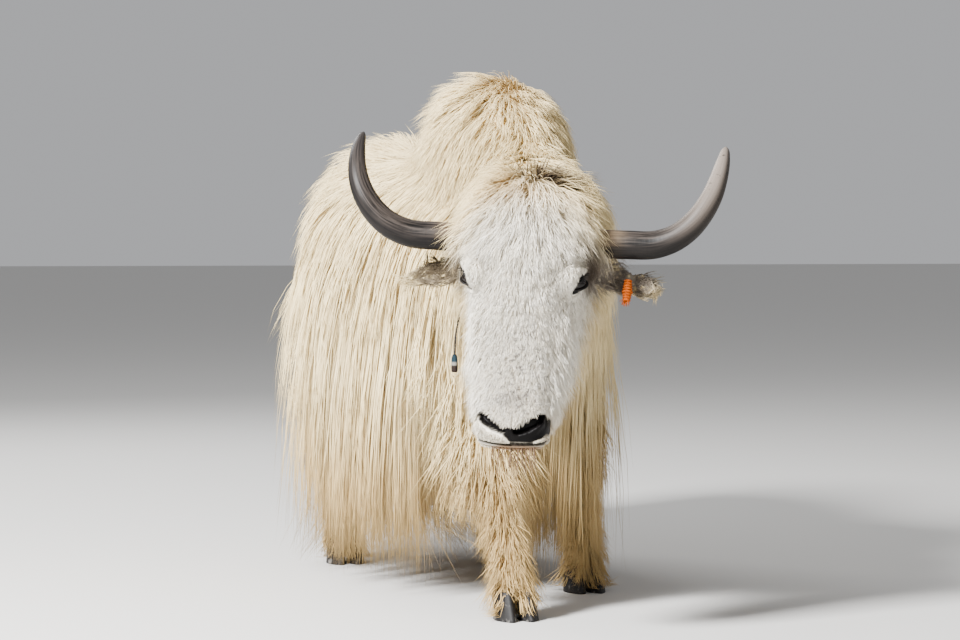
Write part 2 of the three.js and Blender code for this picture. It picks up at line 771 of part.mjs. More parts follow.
// Hair on the legs, in rings that hang over one another.
function legCoat(name) {
  const form = legForms[name];
  const hind = name.startsWith("leg_hind");
  const rings = hind ? [3.2, 4.7, 6.1] : [2.2, 3.5, 4.9];
  return rings.flatMap((place, row) =>
    tier(form, {
      at: [place, place],
      angle: [35 + row * 90, 215 + row * 90],
      count: 2,
      length: 150 - row * 22,
      width: 84 - row * 6,
      thick: 18,
      lie: [0, 0.12, -1],
      lift: 0.3,
      fall: 0.2,
      sink: 16,
    }),
  );
}

function tailCoat() {
  const hair = { width: 74, thick: 24, lie: [0, 0.05, -1], lift: 0.25, fall: 0.2, sink: 16 };
  return [
    ...tier(brushForm, { at: [1, 1], angle: [20, 290], count: 4, length: 430, ...hair }),
    ...tier(brushForm, { at: [2.2, 2.2], angle: [90, 330], count: 3, length: 420, ...hair }),
  ];
}

function earFringe(side) {
  const form = earForm(side);
  const hair = { width: 24, thick: 7, lift: 0.3, fall: 0.1, sink: 5, length: 44 };
  const lie = [side * 0.5, 0.1, -0.8];
  return tier(form, { at: [0.4, 0.9], angle: side > 0 ? [4, 10] : [184, 176], count: 3, lie, ...hair });
}

// Nodes in the order in which they keep their shape: each is cut clear of those before it.
const HIDE = { colour: "#d9d0bb", roughness: 0.9 };
const HORN = { colour: "#4a423c", roughness: 0.4 };
const DARK = { colour: "#1d1a19", roughness: 0.5 };
const plan = [];
const add = (name, finish, body, extra = {}) => plan.push({ name, finish, body, cuts: [], coat: [], ...extra });

for (const [name, side] of Object.entries(sides)) {
  add("eye_" + name, DARK, [eyeBall(side)]);
}
for (const [name, [x, y]] of Object.entries(FEET)) {
  for (const [claws, side] of Object.entries(sides)) {
    add("hoof_" + name + "_" + claws + "_claw", DARK, [claw(x, y, side)]);
  }
}
const bothSides = (make) => Object.values(sides).map(make);
add(
  "head",
  HIDE,
  [headForm.geometry(), chin(), upperLip(), ...[socket, brow, lids, nostrilWing, cheek, hornCollar].flatMap(bothSides)],
  { cuts: [mouthLine(), ...[lidOpening, nostril].flatMap(bothSides)], coat: headCoat() },
);
for (const [name, side] of Object.entries(sides)) {
  add("horn_" + name, HORN, [horn(side)]);
  add("ear_" + name, HIDE, [earForm(side).geometry()], { cuts: [solid(earCup(side))], coat: earFringe(side) });
}
add("ear_yarn", { colour: "#d9741c", roughness: 0.9 }, [earYarn()]);
for (const [name, side] of Object.entries(sides)) {
  const outer = block([side > 0 ? FLANK_FACE : -REACH, -REACH, 0], [side > 0 ? REACH : -FLANK_FACE, REACH, REACH]);
  add("flank_" + name, HIDE, trunkBody, { within: outer, coat: skirt(name, side) });
}
const between = block([GAP * 1.5 - FLANK_FACE, -REACH, 0], [FLANK_FACE - GAP * 1.5, REACH, REACH]);
add("torso", HIDE, trunkBody, { within: between, coat: torsoCoat() });
add("hump", HIDE, [humpForm.geometry()], { coat: humpCoat() });
add("neck", HIDE, [neckForm.geometry()], { coat: neckCoat() });
add("neck_cord", { colour: "#3a3c44", roughness: 0.9 }, [neckCord()]);
add("neck_tag", { colour: "#4c5a66", roughness: 0.9 }, [neckTag()]);
for (const [name, form] of Object.entries(legForms)) {
  add(name, HIDE, [form.geometry()], { coat: legCoat(name) });
}
add("tail_dock", HIDE, [dockForm.geometry()]);
add("tail_brush", HIDE, [brushForm.geometry()], { coat: tailCoat() });

// A node's body or coat, moved outwards by the gap where another node is cut clear of it.
function bodyOf(item, by) {
  const whole = joined(item.body, by);
  return item.within ? whole.intersect(solid(item.within, by)) : whole;
}

const meets = (a, b) => {
  const [p, q] = [a.boundingBox(), b.boundingBox()];
  return [0, 1, 2].every((i) => p.min[i] <= q.max[i] && q.min[i] <= p.max[i]);
};
const clearOf = (made, others) =>
  others.filter((other) => meets(made, other)).reduce((left, other) => left.subtract(other), made);

for (const item of plan) {
  item.wide = bodyOf(item, GAP);
  item.wideCoat = item.coat.length ? joined(item.coat, GAP) : null;
}
const yak = new THREE.Group();
plan.forEach((item, index) => {
  const before = plan.slice(0, index);
  let made = clearOf(bodyOf(item, 0), before.map((other) => other.wide));
  if (item.coat.length) {
    const others = plan.filter((other) => other !== item).map((other) => other.wide);
    made = made.add(clearOf(joined(item.coat), others));
  }
  made = item.cuts.reduce((left, cut) => left.subtract(cut), made);
  made = clearOf(made, before.map((other) => other.wideCoat).filter(Boolean));
  const { colour, roughness } = item.finish;
  const material = new THREE.MeshStandardMaterial({ color: colour, roughness, metalness: 0 });
  const mesh = new THREE.Mesh(geometryOf(largest(made)), material);
  mesh.name = item.name;
  yak.add(mesh);
});

// The origin is on the floor, under the middle of the yak's length and width.
const bounds = new THREE.Box3().setFromObject(yak);
const middle = bounds.getCenter(new THREE.Vector3());
yak.position.set(-middle.x, -middle.y, -bounds.min.z);

export default yak;
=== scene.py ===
"""A life-size standing yak bull with a long cream coat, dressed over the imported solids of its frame.

Metres, +Z up. The yak faces -Y, so its left side is at +X. Sizes in the classes are millimetres in the
yak's own layout, which Layout moves to the frame.
"""

import logging
import math
from dataclasses import dataclass, field
from enum import Enum
from typing import Any, Optional, Sequence, Union

import bmesh
import bpy
import numpy as np
from bpy.types import Material, Mesh, Object
from mathutils import Euler, Matrix, Vector
from mathutils.bvhtree import BVHTree
from mathutils.kdtree import KDTree


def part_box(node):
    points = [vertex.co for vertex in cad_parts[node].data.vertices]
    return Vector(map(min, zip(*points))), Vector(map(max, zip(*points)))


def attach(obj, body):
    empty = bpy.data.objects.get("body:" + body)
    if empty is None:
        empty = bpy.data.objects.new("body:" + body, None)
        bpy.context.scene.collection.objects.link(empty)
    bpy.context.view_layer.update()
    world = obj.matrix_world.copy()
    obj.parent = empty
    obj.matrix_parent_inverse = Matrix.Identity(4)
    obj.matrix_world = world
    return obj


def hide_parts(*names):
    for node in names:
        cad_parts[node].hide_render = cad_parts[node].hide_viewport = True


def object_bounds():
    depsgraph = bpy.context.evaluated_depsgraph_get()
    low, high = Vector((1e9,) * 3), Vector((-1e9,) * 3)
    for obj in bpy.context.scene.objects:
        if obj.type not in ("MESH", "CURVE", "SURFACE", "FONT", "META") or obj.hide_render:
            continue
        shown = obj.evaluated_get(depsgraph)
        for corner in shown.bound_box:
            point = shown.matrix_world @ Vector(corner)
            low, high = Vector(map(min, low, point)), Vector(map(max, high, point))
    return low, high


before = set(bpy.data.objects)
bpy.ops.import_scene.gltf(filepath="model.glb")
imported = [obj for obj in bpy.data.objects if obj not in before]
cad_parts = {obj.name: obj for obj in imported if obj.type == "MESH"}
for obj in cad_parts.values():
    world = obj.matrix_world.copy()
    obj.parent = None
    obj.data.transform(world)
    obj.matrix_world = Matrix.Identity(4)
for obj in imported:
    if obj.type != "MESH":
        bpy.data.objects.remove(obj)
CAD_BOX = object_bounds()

LOG = logging.getLogger("yak")
SEED = 7
MM = 0.001
DOWN = np.array([0.0, 0.0, -1.0])

# Kinds of values: rows of numbers, a place, a colour, sizes at stops along a line, a shell's points and faces

Array = np.ndarray
Place = tuple[float, float, float]
Colour = tuple[float, float, float]
Stops = tuple[tuple[float, float], ...]
Shell = tuple[list[Any], list[Any]]


class Side(Enum):
    """A side of the yak, with its sign along X."""

    RIGHT = -1
    LEFT = 1

    @property
    def word(self) -> str:
        """Name of the side as the frame's nodes have it."""
        return self.name.lower()


# Measures


def unit(vectors: Array) -> Array:
    """Vectors scaled to length one along their last axis."""
    return vectors / np.maximum(np.linalg.norm(vectors, axis=-1, keepdims=True), 1e-9)


def rotated(points: Array, pose: Matrix) -> Array:
    """Directions turned by a pose."""
    return points @ np.array(pose.to_3x3()).T


def posed(points: Array, pose: Matrix) -> Array:
    """Points moved by a pose."""
    return rotated(points, pose) + np.array(pose.translation)


def between(values: Array, places: Sequence[float], sizes: Sequence[float]) -> Array:
    """Sizes read off a line of straight pieces through named places."""
    return np.interp(values, places, sizes)


def smooth(values: Array, low: float, high: float) -> Array:
    """A soft step from 0 at low to 1 at high."""
    share = np.clip((values - low) / (high - low), 0.0, 1.0)
    return share * share * (3.0 - 2.0 * share)


def track(rows: Sequence[Sequence[float]], at: Array) -> Array:
    """Smooth sizes between rows.

    Args:
        rows: each row is a place and the sizes there.
        at: the places asked for.

    Returns:
        One row of sizes for each place.
    """
    table = np.array(rows, float)
    places, values = table[:, 0], table[:, 1:]
    slopes = np.gradient(values, places, axis=0)
    spot = np.clip(np.searchsorted(places, at, side="right") - 1, 0, len(places) - 2)
    span = (places[spot + 1] - places[spot])[:, None]
    s = (np.asarray(at) - places[spot])[:, None] / span
    return (
        (2 * s**3 - 3 * s**2 + 1) * values[spot]
        + (s**3 - 2 * s**2 + s) * span * slopes[spot]
        + (3 * s**2 - 2 * s**3) * values[spot + 1]
        + (s**3 - s**2) * span * slopes[spot + 1]
    )


def tube_walls(rings: int, sides: int) -> list[tuple[int, ...]]:
    """Faces between the rings of a tube.

    Args:
        rings: number of steps along the tube.
        sides: number of points on each ring.

    Returns:
        The corners of each face.
    """
    faces = []
    for ring in range(rings):
        for i in range(sides):
            j = (i + 1) % sides
            low, high = ring * sides, (ring + 1) * sides
            faces.append((low + i, low + j, high + j, high + i))
    return faces


@dataclass(frozen=True)
class Form:
    """A closed form of rings along a spine.

    Each row is place, x, y, z, half width, height above, depth below, squareness.
    """

    name: str
    rows: tuple[tuple[float, ...], ...]
    ahead: Place = (0.0, 0.0, 1.0)
    pose: Matrix = field(default_factory=Matrix)
    rings: int = 60
    sides: int = 48

    @property
    def first(self) -> float:
        """Place of the first ring."""
        return self.rows[0][0]

    @property
    def last(self) -> float:
        """Place of the last ring."""
        return self.rows[-1][0]

    def surface(self, place: Array, angle: Array) -> Array:
        """Points on the form.

        Args:
            place: places along the spine.
            angle: angles round it in radians.

        Returns:
            One point for each pair, in millimetres.
        """
        step = (self.last - self.first) * 0.01
        here = track(self.rows, place)
        before = track(self.rows, np.maximum(place - step, self.first))
        after = track(self.rows, np.minimum(place + step, self.last))
        along = unit(after[:, :3] - before[:, :3])
        side = unit(np.cross(along, np.array(self.ahead)))
        up = np.cross(side, along)
        power = (2.0 / here[:, 6])[:, None]
        across, lift = np.cos(angle)[:, None], np.sin(angle)[:, None]
        across = np.sign(across) * np.abs(across) ** power
        lift = np.sign(lift) * np.abs(lift) ** power
        height = np.where(lift > 0, here[:, 4:5], here[:, 5:6])
        return posed(here[:, :3] + side * across * here[:, 3:4] + up * lift * height, self.pose)

    def outward(self, place: Array, angle: Array) -> Array:
        """Directions out of the form at places and angles.

        Args:
            place: places along the spine.
            angle: angles round it in radians.

        Returns:
            One direction for each pair.
        """
        step = (self.last - self.first) * 0.01
        along = self.surface(np.minimum(place + step, self.last), angle)
        along = along - self.surface(np.maximum(place - step, self.first), angle)
        around = self.surface(place, angle + 0.02) - self.surface(place, angle - 0.02)
        return unit(np.cross(along, around))

    def grid(self) -> tuple[Array, Array, Array]:
        """Points of all rings with their places and angles.

        Returns:
            Points in millimetres, places and angles, one row each.
        """
        places = np.linspace(self.first, self.last, self.rings + 1)
        angles = np.linspace(0.0, 2 * math.pi, self.sides, endpoint=False)
        place, angle = (a.ravel() for a in np.meshgrid(places, angles, indexing="ij"))
        return self.surface(place, angle), place, angle

    def shell(self) -> Shell:
        """Points and faces of the form, closed at both ends.

        Returns:
            Points in millimetres and the corners of each face.
        """
        points, _, _ = self.grid()
        count = self.sides
        faces = tube_walls(self.rings, count)
        faces.append(tuple(range(count)))
        faces.append(tuple(reversed(range(self.rings * count, (self.rings + 1) * count))))
        return list(points), faces


@dataclass(frozen=True)
class Ball:
    """An egg of given radii at a centre, turned in degrees, with a pose."""

    radii: Place
    centre: Place
    turn: Place = (0.0, 0.0, 0.0)
    pose: Matrix = field(default_factory=Matrix)
    fineness: int = 4

    def shell(self) -> Shell:
        """Points and faces of the egg.

        Returns:
            Points in millimetres and the corners of each face.
        """
        mesh = bmesh.new()
        bmesh.ops.create_icosphere(mesh, subdivisions=self.fineness, radius=1.0)
        turned = Euler([math.radians(a) for a in self.turn], "ZYX").to_matrix().to_4x4()
        whole = self.pose @ Matrix.Translation(self.centre) @ turned @ Matrix.Diagonal((*self.radii, 1.0))
        points = [whole @ v.co for v in mesh.verts]
        faces = [tuple(v.index for v in f.verts) for f in mesh.faces]
        mesh.free()
        return points, faces


# Layout of the yak: the sizes that its solids have, in millimetres


@dataclass(frozen=True)
class Layout:
    """The named forms of the yak and the move from its layout to the frame."""

    poll: Place = (-93, -872, 941)
    head_turn: float = -25
    head_tilt: float = 2.7
    face_slope: float = -18
    eye_place: Place = (111, -46, -220)
    eye_radius: float = 19

    @property
    def head_pose(self) -> Matrix:
        """Pose of the head, which hangs from its poll."""
        return (
            Matrix.Translation(self.poll)
            @ Matrix.Rotation(math.radians(self.head_turn), 4, "Z")
            @ Matrix.Rotation(math.radians(self.head_tilt), 4, "Y")
            @ Matrix.Rotation(math.radians(self.face_slope), 4, "X")
        )

    @property
    def shift(self) -> Array:
        """Move from the layout to the frame in metres, read from the eyes of the frame.

        Returns:
            The move along X, Y and Z.
        """
        corners = [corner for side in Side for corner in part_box("eye_" + side.word)]
        centre = np.mean([tuple(corner) for corner in corners], axis=0)
        middle = self.head_pose @ Vector((0, self.eye_place[1], self.eye_place[2]))
        return centre - np.array(middle) * MM

    def placed(self, points: Any) -> Array:
        """Layout millimetres to frame metres."""
        return np.array(points, float) * MM + self.shift

    def on_head(self, x: float, y: float, z: float) -> Place:
        """A point given in the head's own millimetres, in frame metres."""
        return tuple(self.placed([self.head_pose @ Vector((x, y, z))])[0])

    def trunk(self) -> Form:
        """Chest to rump."""
        return Form(
            "trunk",
            (
                (0, 0, -655, 720, 60, 70, 80, 2),
                (1, 0, -630, 725, 115, 130, 150, 2.1),
                (2, 0, -540, 735, 175, 180, 215, 2.2),
                (3, 0, -400, 745, 212, 240, 265, 2.3),
                (4, 0, -220, 755, 250, 270, 275, 2.3),
                (5, 0, 0, 765, 292, 272, 290, 2.2),
                (6, 0, 220, 770, 312, 270, 285, 2.2),
                (7, 0, 430, 785, 294, 285, 255, 2.2),
                (8, 0, 600, 805, 240, 285, 215, 2.2),
                (9, 0, 720, 820, 175, 245, 165, 2.1),
                (10, 0, 785, 830, 105, 165, 110, 2),
                (11, 0, 805, 830, 50, 85, 60, 2),
            ),
        )

    def hump(self) -> Form:
        """Tall narrow dome over the shoulders."""
        return Form(
            "hump",
            (
                (0, 0, -580, 930, 45, 60, 60, 2),
                (1, 0, -545, 945, 92, 120, 110, 2.1),
                (2, 0, -450, 960, 135, 190, 140, 2.2),
                (3, 0, -340, 970, 158, 232, 150, 2.3),
                (4, 0, -220, 970, 158, 226, 150, 2.3),
                (5, 0, -90, 960, 138, 165, 140, 2.2),
                (6, 0, 20, 950, 100, 112, 120, 2.1),
                (7, 0, 75, 940, 55, 60, 60, 2),
            ),
        )

    def neck(self) -> Form:
        """From between the shoulders to the back of the head."""
        return Form(
            "neck",
            (
                (0, 0, -430, 800, 150, 150, 170, 2.1),
                (1, 0, -520, 808, 172, 200, 215, 2.2),
                (2, -12, -610, 818, 168, 208, 215, 2.2),
                (3, -34, -700, 826, 152, 188, 196, 2.2),
                (4, -60, -780, 826, 134, 160, 172, 2.2),
                (5, -80, -845, 818, 108, 132, 140, 2.1),
                (6, -88, -880, 812, 66, 84, 90, 2),
            ),
        )

    def head(self) -> Form:
        """Head in its own frame: the face towards -Y and the muzzle down."""
        return Form(
            "head",
            (
                (0, 0, 4, 12, 40, 34, 34, 2),
                (1, 0, 4, -2, 80, 66, 62, 2),
                (2, 0, 2, -60, 112, 90, 104, 2.3),
                (3, 0, 0, -135, 120, 98, 142, 2.4),
                (4, 0, 0, -215, 122, 97, 150, 2.4),
                (5, 0, 0, -290, 106, 90, 136, 2.3),
                (6, 0, 0, -360, 92, 83, 112, 2.3),
                (7, 0, 0, -425, 83, 76, 90, 2.3),
                (8, 0, 0, -480, 80, 71, 72, 2.4),
                (9, 0, 0, -530, 79, 63, 56, 2.5),
                (10, 0, 4, -562, 66, 44, 42, 2.3),
                (11, 0, 6, -578, 38, 22, 26, 2),
            ),
            ahead=(0, -1, 0),
            pose=self.head_pose,
            rings=120,
            sides=96,
        )

    def ear(self, side: Side) -> Form:
        """A leaf hollowed at the front, held out below the horn and drooping a little.

        Args:
            side: which ear.

        Returns:
            The form.
        """
        root, reach, half_width, half_depth = (106, 34, -160), 168, 31, 13
        droop, back = math.sin(math.radians(11)), math.sin(math.radians(15))
        rows = []
        for share, wide, deep in (
            (0, 0.5, 0.5),
            (0.15, 0.62, 0.85),
            (0.38, 0.94, 1),
            (0.6, 1, 0.9),
            (0.82, 0.78, 0.7),
            (0.95, 0.42, 0.45),
            (1, 0.16, 0.2),
        ):
            way = share * reach
            hollow = -0.35 * float(smooth(np.array(share), 0.15, 0.35)) + 0.9 * (share < 0.2)
            rows.append(
                (
                    share,
                    side.value * (root[0] + way),
                    root[1] + way * back,
                    root[2] - way * droop,
                    half_width * wide,
                    half_depth * deep * hollow,
                    half_depth * deep,
                    2,
                )
            )
        return Form("ear_" + side.word, tuple(rows), (0, -1, 0.3), self.head_pose, 60, 48)

    def legs(self) -> list[Form]:
        """The four legs from the body to the coronet.

        Returns:
            The forms, front legs first.
        """
        upper = ((74, 84, 96, 2.1), (68, 74, 84, 2.1), (56, 60, 64, 2.1))
        knee = ((50, 54, 50, 2.2), (44, 44, 44, 2.2))
        thigh = ((92, 120, 130, 2.2), (98, 130, 128, 2.2), (84, 104, 96, 2.2))
        shank = ((60, 66, 66, 2.2), (48, 50, 56, 2.2), (42, 42, 46, 2.2))
        foot = ((38, 38, 40, 2.2), (46, 44, 48, 2.2), (52, 46, 42, 2.3), (48, 42, 34, 2.3))
        front, hind = upper + knee + foot, thigh + shank + foot
        middles = {
            "front_right": (
                *((-128, -372, 690), (-122, -410, 590), (-108, -466, 470), (-94, -540, 350)),
                *((-88, -580, 280), (-82, -628, 180), (-79, -652, 105), (-78, -666, 62), (-78, -674, 34)),
            ),
            "front_left": (
                *((128, -372, 690), (136, -366, 590), (156, -346, 470), (182, -318, 350), (192, -302, 280)),
                *((206, -274, 180), (212, -262, 105), (214, -262, 62), (214, -266, 34)),
            ),
            "hind_right": (
                *((-140, 520, 820), (-158, 500, 700), (-176, 490, 570), (-186, 512, 450), (-192, 540, 360)),
                *((-196, 520, 280), (-199, 486, 180), (-200, 462, 105), (-200, 450, 62), (-200, 444, 34)),
            ),
            "hind_left": (
                *((140, 520, 820), (158, 480, 700), (174, 450, 570), (182, 452, 450), (186, 462, 360)),
                *((188, 430, 280), (190, 384, 180), (190, 352, 105), (190, 336, 62), (190, 330, 34)),
            ),
        }
        legs = []
        for name, line in middles.items():
            sizes = front if name.startswith("front") else hind
            rows = tuple((ring, *middle, *size) for ring, (middle, size) in enumerate(zip(line, sizes)))
            legs.append(Form("leg_" + name, rows, (0, -1, 0)))
        return legs

    def tail(self) -> list[Form]:
        """The dock and the core of its brush.

        Returns:
            The two forms.
        """
        dock = (
            (0, 0, 745, 1010, 40, 40, 40, 2),
            (1, 0, 790, 1005, 42, 40, 40, 2),
            (2, 4, 838, 965, 42, 38, 38, 2),
            (3, 8, 862, 900, 40, 36, 36, 2),
            (4, 12, 868, 840, 38, 34, 34, 2),
        )
        brush = (
            (0, 12, 868, 838, 36, 32, 32, 2),
            (1, 14, 870, 780, 48, 40, 40, 2),
            (2, 16, 868, 700, 50, 42, 42, 2),
            (3, 18, 864, 620, 38, 32, 32, 2),
            (4, 20, 860, 570, 18, 16, 16, 2),
        )
        return [Form("dock", dock, (0, 1, 0.4)), Form("brush", brush, (0, 1, 0.2))]

    def head_balls(self) -> list[Ball]:
        """Brows, sockets, cheeks, nostril wings, chin and lip of the head.

        Returns:
            The eggs that swell the head.
        """
        pose = self.head_pose
        balls = [
            Ball((46, 24, 34), (0, 38, -546), (-8, 0, 0), pose),
            Ball((72, 32, 24), (0, -8, -560), (10, 0, 0), pose),
        ]
        for side in Side:
            s = side.value
            balls += [
                Ball((30, 50, 42), (s * 97, -44, -214), (0, 0, 0), pose),
                Ball((13, 30, 12), (s * 118, -52, -190), (38, 0, s * 20), pose),
                Ball((24, 20, 27), (s * 49, -44, -516), (0, s * 20, 0), pose),
                Ball((32, 74, 84), (s * 72, 60, -238), (8, 0, s * 6), pose),
                Ball((42, 46, 42), (s * 100, 6, -112), (0, 0, 0), pose),
            ]
        return balls


@dataclass(frozen=True)
class SlitFrame:
    """Axes of an opening on the head: along it, across it and out of the head."""

    side: Side
    centre: Place
    along: Place
    outward: Place

    def axes(self) -> tuple[Array, Array, Array, Array]:
        """Centre and the three axes, in the head's own frame.

        Returns:
            The centre, then the axes along, across and out.
        """
        s = self.side.value
        out = unit(np.array([self.outward[0] * s, self.outward[1], self.outward[2]], float))
        length = np.array([self.along[0] * s, self.along[1], self.along[2]], float)
        length = unit(length - out * length.dot(out))
        centre = np.array([self.centre[0] * s, self.centre[1], self.centre[2]], float)
        return centre, length, np.cross(out, length), out

    def local(self, points: Array) -> tuple[Array, Array, Array]:
        """Coordinates of head points along, across and out, alike on both sides."""
        centre, length, across, out = self.axes()
        off = points - centre
        return off @ length, off @ across * -self.side.value, off @ out


NOSTRILS = {side: SlitFrame(side, (46, -56, -521), (0.7, 0.3, 0.62), (0.45, -0.85, -0.3)) for side in Side}
EYE_SLITS = {side: SlitFrame(side, (111, -46, -220), (0, -0.64, -0.77), (1, -0.3, 0.12)) for side in Side}
LAYOUT = Layout()


@dataclass(frozen=True)
class FaceMap:
    """Openings and bare places of the face, in the head's own millimetres."""

    nostril_widths: Stops = ((-34, 8), (-18, 11), (0, 11), (18, 10), (28, 6), (35, 1.5))
    nostril_tail: float = 16.0
    eye_half: float = 29.0
    lid_rise: float = 12.5
    lid_drop: float = 9.5
    mouth_front: tuple[float, float] = (-33.0, -564.5)
    mouth_slope: float = 0.65
    nose_top: Stops = (
        (-80, -500), (-70, -499), (-44, -513), (-13, -534), (28, -535), (49, -513), (70, -494), (80, -500)
    )
    # Lower edge of the black. On the left (positive x) it reaches much lower than on the right: the black
    # below the left nostril is painted shade.
    nose_and_shade_foot: Stops = (
        (-80, -504), (-70, -514), (-44, -531), (-15, -550), (0, -563), (42, -561), (62, -551), (80, -526)
    )

    def nostril(self, points: Array, side: Side) -> tuple[Array, Array]:
        """Where head points lie about a nostril.

        Args:
            points: points in the head's own millimetres.
            side: which nostril.

        Returns:
            Distance from its curved middle over its half width, and height out of the head.
        """
        along, across, out = NOSTRILS[side].local(points)
        places, widths = zip(*self.nostril_widths)
        bend = 4.0 - 0.03 * np.maximum(along - self.nostril_tail, 0) ** 2
        beyond = np.maximum(np.maximum(along - places[-1], places[0] - along), 0)
        return np.hypot(across - bend, beyond) / between(along, places, widths), out

    def lids(self, along: Array) -> tuple[Array, Array]:
        """Heights of the upper and lower lid edges over the line of the eye."""
        share = np.clip(1 - (along / self.eye_half) ** 2, 0, 1)
        return self.lid_rise * share, -self.lid_drop * share

    def eye(self, points: Array, side: Side) -> tuple[Array, Array, Array, Array]:
        """Where head points lie about the opening of an eye.

        Args:
            points: points in the head's own millimetres.
            side: which eye.

        Returns:
            How far they lie inside the lids, along the eye and above its upper lid, and whether
            they are near it.
        """
        along, across, out = EYE_SLITS[side].local(points)
        upper, lower = self.lids(along)
        near = (out > -8) & (out < 36) & (np.abs(along) < 60)
        inside = np.minimum(upper - across, across - lower) - np.maximum(np.abs(along) - self.eye_half, 0)
        return inside, along, across - upper, near

    def mouth(self, points: Array) -> Array:
        """Height of head points above the line between the lips."""
        depth, height = self.mouth_front
        above = points[:, 2] - height - self.mouth_slope * (points[:, 1] - depth)
        return above / math.hypot(1, self.mouth_slope)

    def bare(self, points: Array) -> Array:
        """The bare nose, lips and lids, and black painted shade below the left nostril.

        Args:
            points: points in the head's own millimetres.

        Returns:
            1 on bare black skin and on the painted shade below the left nostril, and 0 where hair grows.
        """
        x, z = points[:, 0], points[:, 2]
        front = (points[:, 1] < 25) & (z < -470)
        above, below = between(x, *zip(*self.nose_top)) - z, z - between(x, *zip(*self.nose_and_shade_foot))
        mask = smooth(above, -2.0, 2.0) * smooth(below, -2.0, 2.0) * (np.abs(x) < 80)
        mask = np.maximum(mask, np.exp(-(((self.mouth(points) + 3.5) / 5.5) ** 2)) * (np.abs(x) < 70))
        for side in Side:
            distance, out = self.nostril(points, side)
            mask = np.maximum(mask, (1 - smooth(distance, 1.0, 1.35)) * (np.abs(out) < 30))
        mask = mask * front
        for side in Side:
            inside, along, above, near = self.eye(points, side)
            tear = np.exp(-(((above + 5) / 5.0) ** 2)) * smooth(along, 14, 28) * (1 - smooth(along, 42, 54))
            mask = np.maximum(mask, np.maximum(smooth(inside, -11.5, -7.0), tear) * near)
        return mask


FACE = FaceMap()


# Meshes


def object_from(name: str, mesh: Mesh) -> Object:
    """A new object in the scene with the mesh."""
    made = bpy.data.objects.new(name, mesh)
    bpy.context.scene.collection.objects.link(made)
    return made


def mesh_from_shells(name: str, shells: Sequence[Shell]) -> Mesh:
    """One mesh of several closed shells in frame metres, facing outwards.

    Args:
        name: name of the mesh.
        shells: points in layout millimetres and faces of each shell.

    Returns:
        The mesh.
    """
    points: list[Any] = []
    faces: list[tuple[int, ...]] = []
    for shell_points, shell_faces in shells:
        start = len(points)
        points += [tuple(p) for p in LAYOUT.placed(shell_points)]
        faces += [tuple(start + i for i in face) for face in shell_faces]
    mesh = bpy.data.meshes.new(name)
    mesh.from_pydata(points, [], faces)
    return facing_out(mesh)


def facing_out(mesh: Mesh) -> Mesh:
    """The mesh with its faces turned outwards and shaded smooth.

    Args:
        mesh: the mesh, which is changed.

    Returns:
        The same mesh.
    """
    work = bmesh.new()
    work.from_mesh(mesh)
    bmesh.ops.recalc_face_normals(work, faces=work.faces)
    work.to_mesh(mesh)
    work.free()
    mesh.polygons.foreach_set("use_smooth", np.ones(len(mesh.polygons), bool))
    return mesh


def evaluated(made: Object) -> Mesh:
    """A plain mesh of an object with its modifiers.

    Args:
        made: the object, which is removed.

    Returns:
        The new mesh.
    """
    graph = bpy.context.evaluated_depsgraph_get()
    mesh = bpy.data.meshes.new_from_object(made.evaluated_get(graph), depsgraph=graph)
    bpy.data.objects.remove(made)
    return mesh


def positions(mesh: Mesh) -> Array:
    """Vertex positions of a mesh."""
    flat = np.empty(len(mesh.vertices) * 3, np.float32)
    mesh.vertices.foreach_get("co", flat)
    return flat.reshape(-1, 3).astype(float)


def move_to(mesh: Mesh, points: Array) -> None:
    """Sets the vertex positions of a mesh."""
    mesh.vertices.foreach_set("co", points.astype(np.float32).ravel())
    mesh.update()


def vertex_normals(mesh: Mesh) -> Array:
    """Vertex normals of a mesh."""
    flat = np.empty(len(mesh.vertices) * 3, np.float32)
    mesh.vertex_normals.foreach_get("vector", flat)
    return flat.reshape(-1, 3).astype(float)


# Materials


class Signal:
    """A shader socket that takes part in Python expressions."""

    soft_step = {"interpolation_type": "SMOOTHSTEP", "clamp": True}

    def __init__(self, look: "Look", socket: bpy.types.NodeSocket) -> None:
        """Keeps the socket and the look whose tree it is in."""
        self.look = look
        self.socket = socket

    def _with(self, operation: str, first: Any, second: Any) -> "Signal":
        """A Math node on two values."""
        return self.look.node("ShaderNodeMath", {"operation": operation}, {0: first, 1: second})

    def __add__(self, other: Any) -> "Signal":
        """Sum."""
        return self._with("ADD", self, other)

    __radd__ = __add__

    def __sub__(self, other: Any) -> "Signal":
        """Difference."""
        return self._with("SUBTRACT", self, other)

    def __rsub__(self, other: Any) -> "Signal":
        """Difference from a number."""
        return self._with("SUBTRACT", other, self)

    def __mul__(self, other: Any) -> "Signal":
        """Product."""
        return self._with("MULTIPLY", self, other)

    __rmul__ = __mul__

    def step(self, low: float, high: float) -> "Signal":
        """A soft step from 0 at low to 1 at high."""
        values = {"Value": self, "From Min": low, "From Max": high, "To Min": 0.0, "To Max": 1.0}
        return self.look.node("ShaderNodeMapRange", self.soft_step, values)


@dataclass(frozen=True)
class Shine:
    """How a surface reflects: roughness, strength of the reflection and weight of a clear wet layer."""

    roughness: float
    specular: float
    wet: float = 0.0


